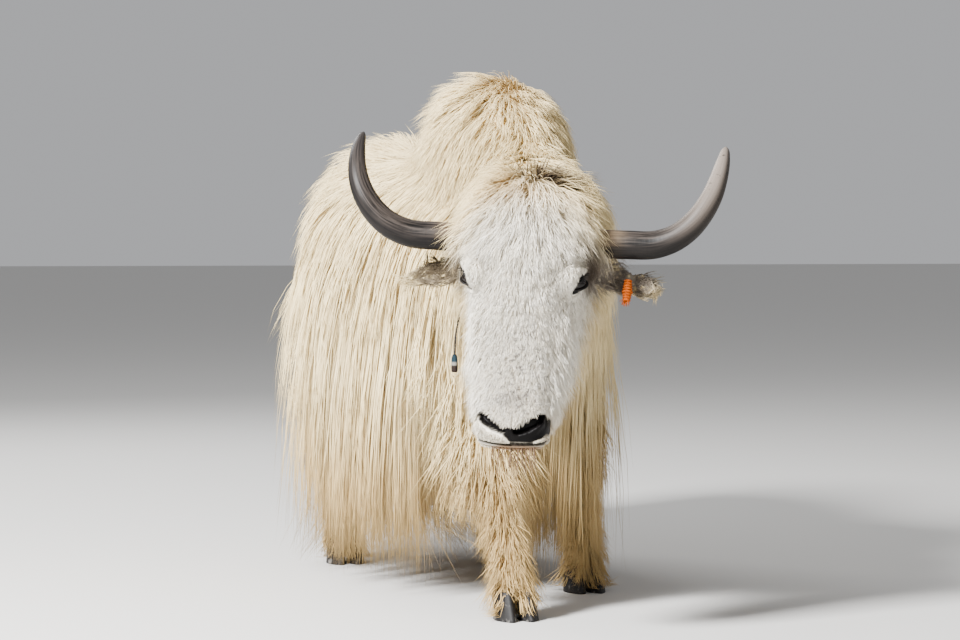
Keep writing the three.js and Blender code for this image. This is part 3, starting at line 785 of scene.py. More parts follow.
class Look:
    """One material and the building of its nodes."""

    mix_share, mix_first, mix_second, mix_result = 0, 6, 7, 2

    def __init__(self, name: str, shine: Shine) -> None:
        """Makes the material with one shader.

        Args:
            name: name of the material.
            shine: how the whole surface reflects.
        """
        self.material = bpy.data.materials.new(name)
        self.material.use_nodes = True
        self.tree = self.material.node_tree
        self.shader = self.tree.nodes["Principled BSDF"]
        self.shader.inputs["Roughness"].default_value = shine.roughness
        self.shader.inputs["Specular IOR Level"].default_value = shine.specular
        self.shader.inputs["Coat Weight"].default_value = shine.wet

    def node(
        self, kind: str, settings: dict[str, Any], values: dict[Any, Any], output: Union[int, str] = 0
    ) -> Signal:
        """Adds any node.

        Args:
            kind: type of the node.
            settings: its own settings, set first.
            values: values or links of its sockets by name or number.
            output: the output that is returned.

        Returns:
            The output as a signal.
        """
        made = self.tree.nodes.new(kind)
        for setting, value in settings.items():
            setattr(made, setting, value)
        for key, value in values.items():
            socket = made.inputs[key]
            if isinstance(value, Signal):
                self.tree.links.new(value.socket, socket)
            else:
                socket.default_value = value
        return Signal(self, made.outputs[output])

    def place(self) -> Signal:
        """Object coordinates, which are frame metres."""
        return self.node("ShaderNodeTexCoord", {}, {}, "Object")

    def axis(self, where: Signal, name: str) -> Signal:
        """One coordinate of a vector."""
        return self.node("ShaderNodeSeparateXYZ", {}, {"Vector": where}, name)

    def attribute(self, name: str) -> Signal:
        """A number kept on the mesh."""
        return self.node("ShaderNodeAttribute", {"attribute_name": name}, {}, "Fac")

    def noise(self, where: Signal, scale: float, detail: float = 3.0, roughness: float = 0.55) -> Signal:
        """Cloudy numbers round one half."""
        values = {"Vector": where, "Scale": scale, "Detail": detail, "Roughness": roughness}
        return self.node("ShaderNodeTexNoise", {}, values, 0)

    def stretched(self, where: Signal, by: Place, detail: float = 3.0, roughness: float = 0.55) -> Signal:
        """Cloudy numbers with a scale of their own along each axis."""
        return self.noise(self.scaled(where, by), 1.0, detail, roughness)

    def scaled(self, where: Signal, by: Place) -> Signal:
        """A vector times three factors."""
        return self.node("ShaderNodeVectorMath", {"operation": "MULTIPLY"}, {0: where, 1: by})

    def mix(self, share: Any, first: Any, second: Any, blend: str = "MIX") -> Signal:
        """Blends two colours."""
        first, second = ((*c, 1.0) if isinstance(c, tuple) else c for c in (first, second))
        values = {self.mix_share: share, self.mix_first: first, self.mix_second: second}
        return self.node("ShaderNodeMix", {"data_type": "RGBA", "blend_type": blend}, values, self.mix_result)

    def spot(self, centre: Place, radii: Place, soft: float) -> Signal:
        """A soft round mark.

        Args:
            centre: its middle in the frame.
            radii: its half sizes in metres.
            soft: half width of its edge, as a share of the radii.

        Returns:
            1 within the mark and 0 outside it.
        """
        where = self.node("ShaderNodeVectorMath", {"operation": "SUBTRACT"}, {0: self.place(), 1: centre})
        away = self.scaled(where, tuple(1.0 / radius for radius in radii))
        length = self.node("ShaderNodeVectorMath", {"operation": "LENGTH"}, {0: away}, "Value")
        return length.step(1.0 + soft, 1.0 - soft)

    def feed(self, socket: str, value: Signal) -> None:
        """Links a signal into the shader."""
        self.tree.links.new(value.socket, self.shader.inputs[socket])

    def bump(self, height: Signal, strength: float, distance: float) -> None:
        """Raises the surface by a signal."""
        values = {"Strength": strength, "Distance": distance, "Height": height}
        self.feed("Normal", self.node("ShaderNodeBump", {}, values, "Normal"))


@dataclass(frozen=True)
class Mark:
    """A soft egg-shaped mark: its centre in millimetres, radii in metres and softness of its edge."""

    centre: Place
    radii: Place
    soft: float
    on_head: bool = True

    def on(self, look: Look, sign: int = 1) -> Signal:
        """The mark on a material."""
        x, y, z = self.centre[0] * sign, self.centre[1], self.centre[2]
        centre = LAYOUT.on_head(x, y, z) if self.on_head else tuple(LAYOUT.placed([(x, y, z)])[0])
        return look.spot(centre, self.radii, self.soft)


@dataclass(frozen=True)
class CoatColours:
    """Markings that the skin and the coat share, and painted shade by the base of the left horn."""

    cream: Colour = (0.80, 0.655, 0.37)
    white: Colour = (0.90, 0.865, 0.785)
    tan: Colour = (0.46, 0.30, 0.115)
    smoke: Colour = (0.075, 0.056, 0.042)
    brown: Colour = (0.07, 0.048, 0.032)
    black: Colour = (0.0035, 0.003, 0.003)
    grey: Colour = (0.17, 0.15, 0.14)
    lip: Colour = (0.40, 0.23, 0.11)
    stained_from: float = 0.62
    stained_full: float = 0.12
    face: Mark = Mark((0, -40, -330), (0.19, 0.16, 0.30), 0.3)
    hump_top: Mark = Mark((0, -330, 1160), (0.075, 0.16, 0.15), 0.6, on_head=False)
    crown: Mark = Mark((-10, -30, -6), (0.120, 0.090, 0.062), 0.6)
    poll: Mark = Mark((28, 4, 34), (0.084, 0.095, 0.060), 0.4)
    ear: Mark = Mark((190, 46, -176), (0.10, 0.08, 0.055), 0.4)
    # painted shade: a dark patch between the base of the left horn and the left ear, on the left side only
    hollow: Mark = Mark((124, -6, -168), (0.030, 0.075, 0.052), 0.5)
    bridge: Mark = Mark((22, -90, -420), (0.07, 0.06, 0.10), 0.5)
    muzzle: Mark = Mark((-2, -64, -480), (0.034, 0.03, 0.014), 0.6)
    lips: Mark = Mark((10, -26, -574), (0.060, 0.030, 0.0105), 0.3)

    def base(self, look: Look) -> Signal:
        """The colour of the coat at each place of the yak.

        Args:
            look: the material that is coloured.

        Returns:
            The colour.
        """
        where = look.place()
        cloud = look.noise(where, 6.0)
        fine = look.noise(where, 38.0, 2.0)
        low = look.axis(where, "Z").step(self.stained_from, self.stained_full)
        colour = look.mix(self.face.on(look), self.cream, self.white)
        stained = (low * 0.75 + cloud - 0.42).step(0.12, 0.85)
        colour = look.mix(stained * 0.8, colour, self.tan)
        colour = look.mix(self.hump_top.on(look) * (cloud * 0.6 + 0.25), colour, self.tan)
        colour = look.mix(self.crown.on(look) * (cloud * 0.9 + 0.05), colour, self.tan)
        colour = look.mix(self.poll.on(look) * fine.step(0.2, 0.5), colour, self.brown)
        streaks = look.noise(where, 75.0, 2.0).step(0.22, 0.48)
        for side, shade in ((Side.RIGHT, self.smoke), (Side.LEFT, self.grey)):
            colour = look.mix(self.ear.on(look, side.value) * streaks * 0.92, colour, shade)
        # painted shade by the left horn base, in the poll's brown
        colour = look.mix(self.hollow.on(look) * 0.9, colour, self.brown)
        speckle = look.noise(where, 110.0, 1.0).step(0.58, 0.65)
        colour = look.mix(speckle * self.bridge.on(look) * 0.85, colour, self.grey)
        colour = look.mix(self.muzzle.on(look) * fine * 0.8, colour, self.grey)
        return look.mix(self.lips.on(look) * 0.85, colour, self.lip)


@dataclass(frozen=True)
class CoatFinish:
    """Hair of the tufts: the markings, a tone for each tuft and a darker root."""

    shine: Shine = Shine(0.62, 0.22)
    dull: Colour = (0.88, 0.84, 0.76)
    clear: Colour = (1.0, 1.0, 1.0)
    root: Colour = (0.66, 0.58, 0.46)
    root_share: float = 0.45
    root_strength: float = 0.3

    def material(self) -> Material:
        """Makes the material.

        Returns:
            The material.
        """
        look = Look("coat hair", self.shine)
        shade = look.mix(look.attribute("tone"), self.dull, self.clear)
        colour = look.mix(1.0, CoatColours().base(look), shade, "MULTIPLY")
        root = 1.0 - look.attribute("along").step(0.0, self.root_share)
        look.feed("Base Color", look.mix(root * self.root_strength, colour, self.root, "MULTIPLY"))
        return look.material


@dataclass(frozen=True)
class SkinFinish:
    """Skin under the coat, with the bare black nose, lips and lids, and black painted shade below the left
    nostril.
    """

    shine: Shine = Shine(0.62, 0.06)
    under: Colour = (0.80, 0.73, 0.62)
    under_strength: float = 0.3
    bare_gloss: float = 0.2
    grain: float = 300.0
    short_hair: Place = (420.0, 420.0, 90.0)
    relief: tuple[float, float] = (0.4, 0.0009)

    def material(self) -> Material:
        """Makes the material.

        Returns:
            The material.
        """
        look = Look("skin", self.shine)
        where, bare = look.place(), look.attribute("bare")
        colours = CoatColours()
        colour = look.mix(self.under_strength, colours.base(look), self.under, "MULTIPLY")
        look.feed("Base Color", look.mix(bare, colour, colours.black))
        look.feed("Roughness", self.shine.roughness - bare * self.bare_gloss)
        grain = look.node("ShaderNodeTexVoronoi", {}, {"Vector": where, "Scale": self.grain}, "Distance")
        hair = look.stretched(where, self.short_hair, 2.0)
        look.bump(grain * bare + hair * (1.0 - bare), *self.relief)
        return look.material


@dataclass(frozen=True)
class CloudyFinish:
    """A smooth surface of two tones that drift into each other."""

    name: str
    shine: Shine
    scale: float
    dark: Colour
    light: Colour

    def material(self) -> Material:
        """Makes the material.

        Returns:
            The material.
        """
        look = Look(self.name, self.shine)
        look.feed("Base Color", look.mix(look.noise(look.place(), self.scale), self.dark, self.light))
        return look.material


@dataclass(frozen=True)
class PlainFinish:
    """A surface of one colour."""

    name: str
    shine: Shine
    colour: Colour

    def material(self) -> Material:
        """Makes the material.

        Returns:
            The material.
        """
        look = Look(self.name, self.shine)
        look.shader.inputs["Base Color"].default_value = (*self.colour, 1.0)
        return look.material


@dataclass(frozen=True)
class HornFinish:
    """Grey-brown horn with long streaks, paler at the root and, on the left, at the tip, with painted shade
    in near black along its underside.
    """

    side: Side
    shine: Shine = Shine(0.32, 0.12)
    dark: Colour = (0.004, 0.0035, 0.0033)
    streak: Colour = (0.052, 0.042, 0.036)
    root: Colour = (0.30, 0.21, 0.125)
    # painted shade: near black for the underside of the horn
    below: Colour = (0.004, 0.0035, 0.0035)
    left_tip: Colour = (0.26, 0.215, 0.18)
    left_pit: Colour = (0.02, 0.018, 0.016)
    right_tip: Colour = (0.022, 0.019, 0.018)
    streak_scale: Place = (5.0, 34.0, 1.0)
    cloud_scale: Place = (9.0, 5.0, 1.0)
    pit_scale: Place = (40.0, 7.0, 1.0)
    ring_scale: Place = (60.0, 0.8, 1.0)
    relief: tuple[float, float] = (0.4, 0.0016)

    def material(self) -> Material:
        """Makes the material.

        Returns:
            The material.
        """
        look = Look("horn " + self.side.word, self.shine)
        where = look.node("ShaderNodeUVMap", {"uv_map": "Horn"}, {}, 0)
        along, around = look.axis(where, "X"), look.axis(where, "Y")
        streaks = look.stretched(where, self.streak_scale, 5.0, 0.62)
        cloud = look.stretched(where, self.cloud_scale)
        colour = look.mix(streaks.step(0.34, 0.68), self.dark, self.streak)
        pale = along.step(0.32, 0.04) * (streaks * 0.9 + cloud * 0.5 - 0.12)
        colour = look.mix(pale.step(0.1, 0.62) * 0.8, colour, self.root)
        # Painted shade: the underside of each horn is painted near black, so the pale root and the pale left
        # tip show on the upper side only.
        turned = look.node("ShaderNodeMath", {"operation": "COSINE"}, {0: around * (2 * math.pi)})
        under = turned * self.side.value
        colour = look.mix(under.step(0.1, 0.8) * 0.85, colour, self.below)
        if self.side is Side.LEFT:
            tip = along.step(0.35, 0.85) * (1.0 - under.step(0.2, 0.9) * 0.7)
            colour = look.mix(tip * 0.6, colour, self.left_tip)
            pits = look.stretched(where, self.pit_scale, 2.0).step(0.62, 0.70)
            colour = look.mix(pits * along.step(0.6, 0.8) * 0.8, colour, self.left_pit)
        else:
            colour = look.mix(along.step(0.55, 0.95) * 0.6, colour, self.right_tip)
        look.feed("Base Color", colour)
        look.feed("Roughness", streaks * 0.25 + self.shine.roughness)
        rings = look.stretched(where, self.ring_scale, 2.0) * (1.0 - along.step(0.0, 0.6) * 0.8)
        look.bump(rings + streaks * 0.5, *self.relief)
        return look.material


@dataclass(frozen=True)
class HoofFinish:
    """Dry black hoof horn with fine growth lines and a chalky patch."""

    shine: Shine = Shine(0.6, 0.2)
    dark: Colour = (0.004, 0.004, 0.0045)
    light: Colour = (0.022, 0.020, 0.019)
    chalk: Colour = (0.36, 0.34, 0.31)
    line_scale: Place = (18.0, 18.0, 240.0)
    chalk_scale: float = 45.0
    relief: tuple[float, float] = (0.4, 0.001)

    def material(self) -> Material:
        """Makes the material.

        Returns:
            The material.
        """
        look = Look("hoof horn", self.shine)
        where = look.place()
        lines = look.stretched(where, self.line_scale)
        worn = look.noise(where, self.chalk_scale).step(0.56, 0.72)
        look.feed("Base Color", look.mix(worn * 0.45, look.mix(lines, self.dark, self.light), self.chalk))
        look.bump(lines, *self.relief)
        return look.material


@dataclass(frozen=True)
class ThreadFinish:
    """Spun thread, with one tone on the raised fibres and a darker one between them as painted shade."""

    name: str
    light: Colour
    # painted shade: the tone of the low places between the fibres
    dark: Colour
    shine: Shine = Shine(0.85, 0.1)
    scale: float = 900.0
    relief: tuple[float, float] = (0.5, 0.0006)

    def material(self) -> Material:
        """Makes the material.

        Returns:
            The material.
        """
        look = Look(self.name, self.shine)
        fibre = look.noise(look.place(), self.scale)
        # painted shade: the low places between the raised fibres take the darker tone
        look.feed("Base Color", look.mix(fibre.step(0.35, 0.65), self.dark, self.light))
        look.bump(fibre, *self.relief)
        return look.material


@dataclass(frozen=True)
class TagFinish:
    """Bound pendant: blue-grey above, pale in the middle, brown below and dark at its neck."""

    shine: Shine = Shine(0.8, 0.15)
    middle: Colour = (0.17, 0.16, 0.14)
    upper: Colour = (0.008, 0.020, 0.028)
    lower: Colour = (0.012, 0.007, 0.005)
    cap: Colour = (0.02, 0.019, 0.02)
    upper_from: float = 0.022
    lower_to: float = 0.015
    cap_from: float = 0.038
    blur: float = 0.002
    fibre_scale: Place = (200.0, 200.0, 1400.0)
    relief: tuple[float, float] = (0.5, 0.0006)

    def material(self) -> Material:
        """Makes the material.

        Returns:
            The material.
        """
        look = Look("bound tag", self.shine)
        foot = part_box("neck_tag")[0].z
        upper, lower, cap = foot + self.upper_from, foot + self.lower_to, foot + self.cap_from
        height = look.axis(look.place(), "Z")
        colour = look.mix(height.step(upper - self.blur, upper + self.blur), self.middle, self.upper)
        colour = look.mix(height.step(lower + self.blur, lower - self.blur), colour, self.lower)
        colour = look.mix(height.step(cap - self.blur, cap + self.blur), colour, self.cap)
        look.feed("Base Color", colour)
        look.bump(look.stretched(look.place(), self.fibre_scale), *self.relief)
        return look.material


class Finishes:
    """All materials of the yak, each made once."""

    def __init__(self) -> None:
        """Builds each finish."""
        eye = CloudyFinish("eye", Shine(0.1, 0.2, 0.12), 90.0, (0.002, 0.0015, 0.001), (0.007, 0.004, 0.003))
        rim = CloudyFinish("lid rim", Shine(0.5, 0.15), 120.0, (0.004, 0.0035, 0.0035), (0.012, 0.010, 0.009))
        self.coat = CoatFinish().material()
        self.skin = SkinFinish().material()
        self.eye = eye.material()
        self.rim = rim.material()
        self.whisker = PlainFinish("whisker", Shine(0.5, 0.3), (0.13, 0.078, 0.042)).material()
        self.horn = {side: HornFinish(side).material() for side in Side}
        self.hoof = HoofFinish().material()
        self.yarn = ThreadFinish("orange yarn", (0.58, 0.115, 0.006), (0.22, 0.036, 0.002)).material()
        self.cord = ThreadFinish("dark cord", (0.030, 0.028, 0.030), (0.015, 0.014, 0.015)).material()
        self.tag = TagFinish().material()


# Skin


@dataclass
class Skin:
    """One skin over the whole body, inside the coat."""

    finish: Material
    body_voxel: float = 0.0125
    head_voxel: float = 0.0032
    body_inset: float = 0.016
    head_inset: float = 0.005
    slit_depth: float = 20.0
    mouth_depth: float = 10.0
    chin_rise: float = 0.5
    forms: list[Form] = field(default_factory=list)
    piece: Optional[Object] = None
    tree: Optional[BVHTree] = None

    def _remeshed(self, name: str, shells: Sequence[Any], voxel: float, rounds: int) -> Mesh:
        """The shells fused to one even skin.

        Args:
            name: name of the mesh.
            shells: closed shells that overlap.
            voxel: size of the faces in metres.
            rounds: rounds of smoothing.

        Returns:
            The fused mesh.
        """
        work = object_from(name, mesh_from_shells(name, shells))
        fuse = work.modifiers.new("fuse", "REMESH")
        fuse.mode = "VOXEL"
        fuse.voxel_size = voxel
        soften = work.modifiers.new("soften", "SMOOTH")
        soften.factor = 0.5
        soften.iterations = rounds
        return evaluated(work)

    def _carved(self, mesh: Mesh) -> Array:
        """Presses the nostrils, the mouth line and the openings of the eyes into the head.

        Args:
            mesh: the head's skin.

        Returns:
            How bare and dark each vertex is.
        """
        pose = LAYOUT.head_pose
        points = posed((positions(mesh) - LAYOUT.shift) / MM, pose.inverted())
        moved = points.copy()
        for side in Side:
            distance, out = FACE.nostril(points, side)
            near = np.abs(out) < 30
            axis = NOSTRILS[side].axes()[3]
            rim = np.exp(-(((distance - 1.7) / 0.5) ** 2)) * near
            pit = (1.0 - smooth(distance, 0.75, 1.15)) * near
            moved += axis * (2.4 * rim - self.slit_depth * pit)[:, None]
            inside, along, above, near = FACE.eye(points, side)
            axis = EYE_SLITS[side].axes()[3]
            pit = smooth(inside, -1.5, 2.5) * near
            fold = np.exp(-((above - 9) ** 2) / 8.0) * (np.abs(along) < 28) * near
            moved -= axis * (18.0 * pit + 2.6 * fold)[:, None]
        height = FACE.mouth(points)
        front = smooth(-points[:, 2], 490, 515)
        slit = np.exp(-((height / 2.6) ** 2)) * front
        lips = (np.exp(-(((height - 8) / 5.0) ** 2)) + 2.4 * np.exp(-(((height + 9) / 6.0) ** 2))) * front
        inward = unit(np.array([0.0, 8.0, -500.0]) - points)
        moved += inward * (self.mouth_depth * slit - 1.8 * lips)[:, None]
        moved[:, 2] -= np.minimum(height, 0) * self.chin_rise * front
        move_to(mesh, LAYOUT.placed(posed(moved, pose)))
        return FACE.bare(points)

    def _inset(self, mesh: Mesh, by: float) -> None:
        """Moves a mesh inwards by the coat's depth."""
        move_to(mesh, positions(mesh) - vertex_normals(mesh) * by)

    def build(self) -> Object:
        """Makes the skin and what the coat needs of it.

        Returns:
            The piece.
        """
        head_forms = [LAYOUT.head()] + [LAYOUT.ear(side) for side in Side]
        body_forms = [LAYOUT.trunk(), LAYOUT.hump(), LAYOUT.neck(), *LAYOUT.legs(), *LAYOUT.tail()]
        self.forms = head_forms + body_forms
        body = self._remeshed("body", [form.shell() for form in body_forms], self.body_voxel, 6)
        self._inset(body, self.body_inset)
        head_shells = [form.shell() for form in head_forms] + [ball.shell() for ball in LAYOUT.head_balls()]
        head = self._remeshed("head", head_shells, self.head_voxel, 5)
        self._inset(head, self.head_inset)
        bare = self._carved(head)
        whole = bmesh.new()
        whole.from_mesh(head)
        whole.from_mesh(body)
        mesh = bpy.data.meshes.new("skin")
        whole.to_mesh(mesh)
        whole.free()
        mesh.polygons.foreach_set("use_smooth", np.ones(len(mesh.polygons), bool))
        values = np.zeros(len(mesh.vertices), np.float32)
        values[: len(bare)] = bare
        mesh.attributes.new("bare", "FLOAT", "POINT").data.foreach_set("value", values)
        mesh.materials.append(self.finish)
        self.piece = object_from("skin", mesh)
        mesh.calc_loop_triangles()
        corners = [tuple(t.vertices) for t in mesh.loop_triangles]
        self.tree = BVHTree.FromPolygons(positions(mesh).tolist(), corners)
        return self.piece

    def settled(self, points: Array) -> tuple[Array, Array]:
        """Nearest points of the skin and the directions out of it there."""
        found = [self.tree.find_nearest(Vector(point)) for point in points]
        return np.array([tuple(f[0]) for f in found]), np.array([tuple(f[1]) for f in found])


# Coat


@dataclass
class Growth:
    """What grows at a set of roots: sizes in metres and the way it lies."""

    length: Array
    width: Array
    lift: Array
    fall: Array
    clump: Array
    curl: Array
    layers: Array
    loft: Array
    lie: Array

    def of(self, chosen: Array) -> "Growth":
        """The growth at some of the roots."""
        return Growth(*(getattr(self, name)[chosen] for name in self.__dataclass_fields__))

    def put(self, where: Array, part: "Growth") -> None:
        """Sets the growth at some of the roots."""
        for name in self.__dataclass_fields__:
            getattr(self, name)[where] = getattr(part, name)

    @classmethod
    def blank(cls, count: int) -> "Growth":
        """Nothing growing at a number of roots."""
        return cls(*(np.zeros(count) for _ in range(8)), np.zeros((count, 3)))


@dataclass(frozen=True)
class Hair:
    """Sizes of one kind of hair, in millimetres, before it is spread over its roots."""

    length: Any
    width: Any
    lift: Any = 0.3
    fall: Any = 0.3
    clump: Any = 0.5
    curl: Any = 0.02
    layers: Any = 6.0
    loft: Any = 20.0

    def at(self, lie: Array) -> Growth:
        """The hair at roots where it lies one way or another.

        Args:
            lie: the way it lies at each root.

        Returns:
            The growth.
        """
        full = np.ones(len(lie))
        shape = (self.lift, self.fall, self.clump, self.curl, self.layers)
        sizes = (self.length * MM, self.width * MM, *shape, self.loft * MM)
        return Growth(*(full * size for size in sizes), lie)


def from_top(angle: Array) -> Array:
    """Degrees away from the top or front of a form, from 0 to 180."""
    return np.abs((angle - 90 + 180) % 360 - 180)


def ways(x: Any, y: Any, z: Any, count: int) -> Array:
    """Directions from three numbers or arrays."""
    return np.stack([np.ones(count) * part for part in (x, y, z)], 1)


@dataclass(frozen=True)
class Roots:
    """Roots on one form: points in layout millimetres, shares of its length and degrees round it."""

    form: str
    points: Array
    share: Array
    angle: Array


class CoatPlan:
    """The rules of the coat on each form of the body."""

    hem_right = ((-460, 400), (-395, 380), (-340, 110), (-200, 70), (0, 30), (200, 0), (430, -20), (640, 60))
    hem_left = ((-460, 130), (-330, 50), (-200, 20), (0, 10), (200, 10), (430, 0), (640, 60))
    hem_chest = ((-120, 380), (0, 340), (60, 220), (140, 110))

    def growth(self, roots: Roots) -> Growth:
        """What grows on one form.

        Args:
            roots: roots on the form.

        Returns:
            The growth at each root.
        """
        kinds = {"trunk": self._trunk, "hump": self._hump, "neck": self._neck, "head": self._head}
        kinds |= {"dock": self._tail, "brush": self._tail}
        kind = kinds.get(roots.form, self._leg if roots.form.startswith("leg") else self._ear)
        return kind(roots)

    def _hem(self, points: Array) -> Array:
        """Height that the skirt reaches down to under each root.

        Args:
            points: roots in layout millimetres.

        Returns:
            The height of the hem.
        """
        right = between(points[:, 1], *zip(*self.hem_right))
        left = between(points[:, 1], *zip(*self.hem_left))
        share = smooth(points[:, 0], -140, 140)
        chest = smooth(-points[:, 1], 400, 470)
        front = between(points[:, 0], *zip(*self.hem_chest))
        return (right * (1 - share) + left * share) * (1 - chest) + front * chest

    def _trunk(self, roots: Roots) -> Growth:
        """Raised on the back, longer on the flanks and down to the hem from the skirt.

        Args:
            roots: roots on the form.

        Returns:
            What grows there.
        """
        points, angle = roots.points, roots.angle
        round_it = from_top(angle)
        aside = np.clip(points[:, 0] / 90, -1, 1)
        skirt = smooth(round_it, 68, 86)
        reach = np.clip(points[:, 2] - self._hem(points), 150, 740) * 1.14
        length = between(round_it, [0, 30, 60, 75], [130, 150, 260, 420]) * (1 - skirt) + reach * skirt
        length = np.where(round_it > 162, np.minimum(length, 260), length)
        under = smooth(round_it, 124, 142) * (1 - smooth(points[:, 1], 40, 220))
        length = length * (1 - under) + np.minimum(length, 170) * under
        top = 1 - smooth(round_it, 10, 60)
        rear = smooth(points[:, 1], -60, 120)
        lie = ways(aside * 0.5 * top, 0.08 + 0.6 * top, -1 + 0.8 * top, len(points))
        layers = between(round_it, [0, 60, 80, 105, 150, 165], [5, 5, 10, 19, 17, 4])
        lift = between(round_it, [0, 50, 80, 100], [0.3, 0.3, 0.18, 0.1]) + 0.5 * top * rear
        fall = between(round_it, [0, 60, 95], [0.35, 0.5, 1.4])
        shoulder = smooth(points[:, 0], 0, 80) * smooth(-points[:, 1], -60, 60)
        lift = lift * (1 - 0.7 * shoulder)
        curl = between(round_it, [0, 60, 95], [0.04, 0.024, 0.011])
        loft = between(round_it, [0, 60, 90], [22, 20, 20]) + 42 * (1 - smooth(round_it, 45, 85)) * rear
        loft = loft * (1 - 0.75 * shoulder)
        behind = smooth(round_it, 55, 80) * smooth(points[:, 1], 150, 350)
        loft = loft * (1 - 0.7 * behind)
        return Hair(length, 3.6, lift, fall, 0.3, curl, layers, loft).at(lie)

    def _hump(self, roots: Roots) -> Growth:
        """A fuzzy shock of hair, raised on top, that falls to both sides and forward.

        Args:
            roots: roots on the form.

        Returns:
            What grows there.
        """
        points, angle = roots.points, roots.angle
        round_it = from_top(angle)
        aside = np.clip(points[:, 0] / 80, -1, 1)
        ahead = smooth(-points[:, 1], 250, 480)
        left = smooth(points[:, 0], -10, 60)
        lie = ways(aside * 0.3 * (1 - left) - 0.12, 0.2 - 0.55 * ahead, -0.75, len(points))
        lift = between(round_it, [0, 25, 55, 90], [1.0, 0.8, 0.45, 0.3]) * (1 - 0.7 * left)
        loft = between(round_it, [0, 30, 60, 90], [42, 34, 22, 14]) * (1 - 0.85 * left)
        return Hair(118 - 25 * left, 2.7, lift, 0.32, 0.32, 0.045, 7, loft).at(lie)

    def _neck(self, roots: Roots) -> Growth:
        """A mane that falls forward over the poll and down both sides, and a fringe under the neck.

        Args:
            roots: roots on the form.

        Returns:
            What grows there.
        """
        points, angle = roots.points, roots.angle
        round_it = from_top(angle)
        top = 1 - smooth(round_it, 20, 70)
        left = smooth(points[:, 0], -60, 40)
        aside = np.clip((points[:, 0] + 60) / 110, -1, 1)
        length = between(round_it, [0, 60, 110, 180], [120, 160, 250, 330])
        fall = between(round_it, [0, 60, 100], [0.3, 0.4, 1.0])
        lie = ways(aside * (0.35 - 0.3 * left), -0.05 - 0.6 * top, -1 + 0.3 * top, len(points))
        lift = 0.34 - 0.2 * left
        return Hair(length, 3.0, lift, fall, 0.35, 0.03, 7, 20 - 14 * left + 14 * top).at(lie)

    def _head(self, roots: Roots) -> Growth:
        """A mop on the poll, short hair on the face and longer hair on cheeks and jaw.

        Args:
            roots: roots on the form.

        Returns:
            What grows there.
        """
        points, share, angle = roots.points, roots.share, roots.angle
        local = posed(points, LAYOUT.head_pose.inverted())
        front = 1 - smooth(from_top(angle), 44, 80)
        place = share * 11
        face = between(place, [0, 1.2, 2.4, 3.2, 4, 5, 6, 7, 9, 11], [95, 105, 92, 72, 50, 32, 25, 20, 12, 8])
        jaw = between(place, [0, 2, 4, 6, 7.5, 9, 11], [105, 110, 95, 85, 55, 15, 8])
        length = face * front + jaw * (1 - front)
        width = between(length, [8, 20, 60, 120], [1.5, 1.8, 2.1, 2.6])
        aside = np.clip(local[:, 0] / 70, -1, 1)
        lie = ways(aside * (0.3 + 0.5 * (place < 3)), -0.12 + 0.2 * (1 - front), -1.0, len(points))
        lift = between(length, [8, 25, 60, 100], [0.16, 0.3, 0.55, 0.8])
        fall = between(length, [8, 25, 60, 120], [0.0, 0.05, 0.2, 0.36])
        curl = between(length, [8, 25, 60, 120], [0.03, 0.06, 0.08, 0.08])
        layers = between(place, [0, 4, 8, 11], [9, 8, 5, 4.5])
        layers = np.where(FACE.bare(local) > 0.3, 0, layers)
        length = np.where(np.abs(FACE.mouth(local) - 2) < 12, np.minimum(length, 4), length)
        for side in Side:
            inside, along, _, near = FACE.eye(local, side)
            layers = np.where((inside > -10) & near, 0, layers)
            around = (np.abs(along) < 75) & (local[:, 0] * side.value > 40)
            length = np.where(around, np.minimum(length, 7 + 0.7 * np.maximum(-inside - 10, 0)), length)
        loft = np.minimum(length * 0.3, 26)
        return Hair(length, width, lift, fall, 0.42, curl, layers, loft).at(rotated(lie, LAYOUT.head_pose))

    def _ear(self, roots: Roots) -> Growth:
        """Hair that stands up from the ear's upper edge and hangs from its lower one, with a gap at the wool.

        Args:
            roots: roots on the form.

        Returns:
            What grows there.
        """
        form, points, angle = roots.form, roots.points, roots.angle
        side = 1 if form.endswith("left") else -1
        rise = -side * np.cos(np.radians(angle))
        edge = smooth(np.abs(rise), 0.5, 0.95)
        lie = rotated(ways(side * 0.75, -0.15, rise * 0.65 - 0.05, len(points)), LAYOUT.head_pose)
        across = posed(points, LAYOUT.head_pose.inverted())[:, 0] - EarYarn.top[0]
        length = 42 + 34 * edge
        layers = np.full(len(points), 10.0)
        if side > 0:
            layers[np.abs(across) < EarYarn.radius] = 0
            inward = np.clip(-across - EarYarn.radius, 0, None)
            length = np.where(across < 0, np.minimum(length, 10 + inward), length)
        return Hair(length, 2.1, 0.55, 0.12, 0.4, 0.035, layers, 12).at(lie)

    def _leg(self, roots: Roots) -> Growth:
        """Long and loose down to the knee or hock, shaggy below it, with a fringe over the hoof.

        Args:
            roots: roots on the form.

        Returns:
            What grows there.
        """
        form, points, share = roots.form, roots.points, roots.share
        knee = 0.42 if "front" in form else 0.46
        length = between(share, [0, knee - 0.1, knee + 0.06, 0.7, 0.86, 1], [260, 230, 120, 80, 112, 126])
        lift = between(share, [0, knee, 0.8, 1], [0.5, 0.7, 0.7, 0.9])
        fall = between(share, [0, 0.7, 1], [0.35, 0.35, 0.5])
        lie = ways(0.0, 0.0, -1.0, len(points))
        loft = between(share, [0, knee, knee + 0.1, 1], [30, 34, 16, 20])
        hidden = smooth(points[:, 0], 40, 140) * (1 - smooth(share, knee, knee + 0.2))
        lift = lift * (1 - 0.8 * hidden)
        loft = loft * (1 - 0.7 * hidden)
        length = length * (1 - 0.3 * hidden)
        return Hair(length, between(length, [60, 200], [2.4, 3.2]), lift, fall, 0.5, 0.07, 9, loft).at(lie)

